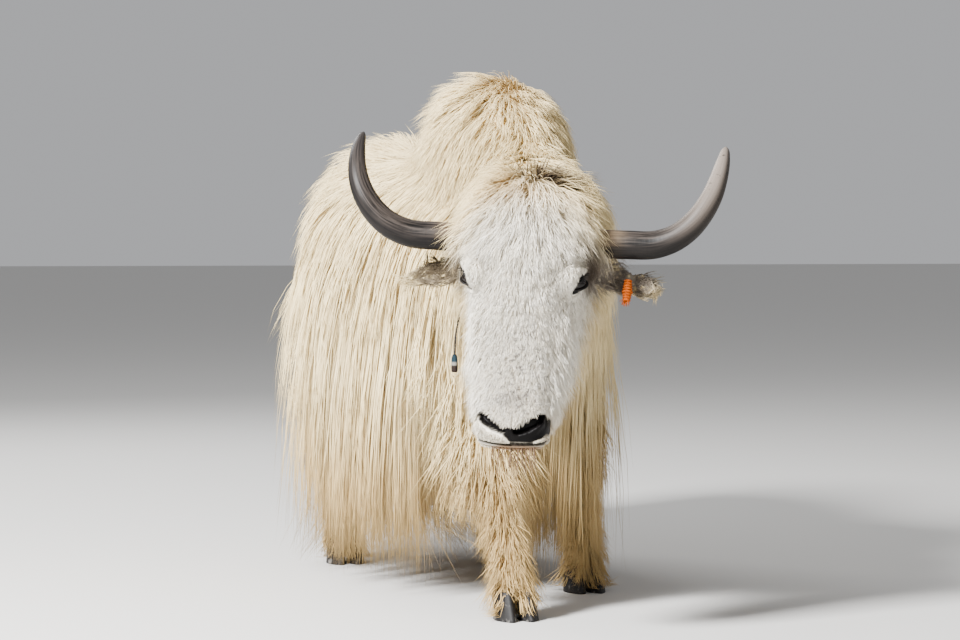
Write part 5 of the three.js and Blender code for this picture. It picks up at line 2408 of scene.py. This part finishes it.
@dataclass
class Stage:
    """Floor, lights and the camera at the photograph's view."""

    floor_size: float = 160.0
    lens: float = 101.25
    height: float = 0.83
    azimuth: float = -16.0
    eye: tuple[float, float] = (-1.777, -6.320)
    horizon: float = 240.0
    focal: float = 2700.0
    picture_middle: float = 320.0
    aim: Place = (0.0, 0.0, 0.7)
    lights: tuple[tuple[str, Place, float, float], ...] = (
        ("key", (-4.5, -2.9, 4.0), 1.2, 2150.0),
        ("fill", (3.4, -5.0, 2.4), 3.5, 25.0),
        ("rim", (-1.5, 4.5, 4.0), 3.0, 260.0),
    )
    sky: Colour = (0.96, 0.97, 1.0)
    sky_strength: float = 0.48

    def _floor(self) -> None:
        """A plain pale floor."""
        mesh = bpy.data.meshes.new("floor")
        half = self.floor_size / 2
        corners = [(-half, -half, 0), (half, -half, 0), (half, half, 0), (-half, half, 0)]
        mesh.from_pydata(corners, [], [(0, 1, 2, 3)])
        mesh.materials.append(PlainFinish("floor", Shine(0.9, 0.1), (0.60, 0.59, 0.57)).material())
        object_from("floor", mesh)

    def _light(self, name: str, place: Place, size: float, power: float) -> None:
        """A soft square light aimed at the middle of the yak.

        Args:
            name: name of the light.
            place: where it hangs.
            size: its side in metres.
            power: its watts.
        """
        data = bpy.data.lights.new(name, "AREA")
        data.size, data.energy = size, power
        light = bpy.data.objects.new(name, data)
        light.location = place
        light.rotation_mode = "QUATERNION"
        light.rotation_quaternion = (Vector(self.aim) - Vector(place)).to_track_quat("-Z", "Y")
        bpy.context.scene.collection.objects.link(light)

    def _camera(self) -> None:
        """The camera where the photograph was taken from."""
        data = bpy.data.cameras.new("camera")
        data.lens, data.sensor_width = self.lens, 36.0
        camera = bpy.data.objects.new("camera", data)
        shift = LAYOUT.shift
        camera.location = (self.eye[0] + shift[0], self.eye[1] + shift[1], self.height + shift[2])
        pitch = math.atan((self.picture_middle - self.horizon) / self.focal)
        camera.rotation_euler = (math.pi / 2 - pitch, 0, math.radians(self.azimuth))
        bpy.context.scene.collection.objects.link(camera)
        bpy.context.scene.camera = camera

    def build(self) -> None:
        """Sets up floor, light and camera."""
        self._floor()
        for light in self.lights:
            self._light(*light)
        world = bpy.data.worlds.new("studio")
        world.use_nodes = True
        sky = world.node_tree.nodes["Background"]
        sky.inputs["Color"].default_value = (*self.sky, 1.0)
        sky.inputs["Strength"].default_value = self.sky_strength
        bpy.context.scene.world = world
        self._camera()


def ride(piece: Object, slot: str, *nodes: str) -> None:
    """Fixes a finished piece to the body.

    Args:
        piece: the piece.
        slot: the record's material slot; not used.
        nodes: frame nodes that it replaces.
    """
    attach(piece, "root")
    if nodes:
        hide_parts(*nodes)
    LOG.info("%s: %d faces", piece.name, len(piece.data.polygons))


def main() -> None:
    """Builds the yak piece by piece."""
    logging.basicConfig(level=logging.INFO, format="%(message)s")
    finishes = Finishes()
    Stage().build()
    skin = Skin(finishes.skin)
    kinds = ("head", "ear_left", "ear_right", "flank", "torso", "hump", "leg", "tail")
    flesh = [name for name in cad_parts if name.startswith(kinds)]
    ride(skin.build(), "coat", *flesh, "neck")
    for piece in Coat(finishes.coat, skin).build():
        ride(piece, "coat")
    for side in Side:
        ride(Horn(side, finishes.horn[side]).build(), "horn", "horn_" + side.word)
        eye, lids = Eye(side, finishes.eye, finishes.rim).build()
        ride(eye, "eye", "eye_" + side.word)
        ride(lids, "coat")
    ride(Hooves(finishes.hoof).build(), "hoof", *[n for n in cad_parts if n.startswith("hoof")])
    cord, string, tag, binding = NeckCord(finishes.cord, finishes.tag).build()
    ride(cord, "cord", "neck_cord")
    ride(string, "cord")
    ride(tag, "tag", "neck_tag")
    ride(binding, "tag")
    core, *wool = EarYarn(finishes.yarn).build()
    ride(core, "yarn", "ear_yarn")
    for piece in wool:
        ride(piece, "yarn")
    for piece in Bristles(skin, finishes.whisker, finishes.rim).build():
        ride(piece, "coat")


if __name__ == "__main__":
    main()
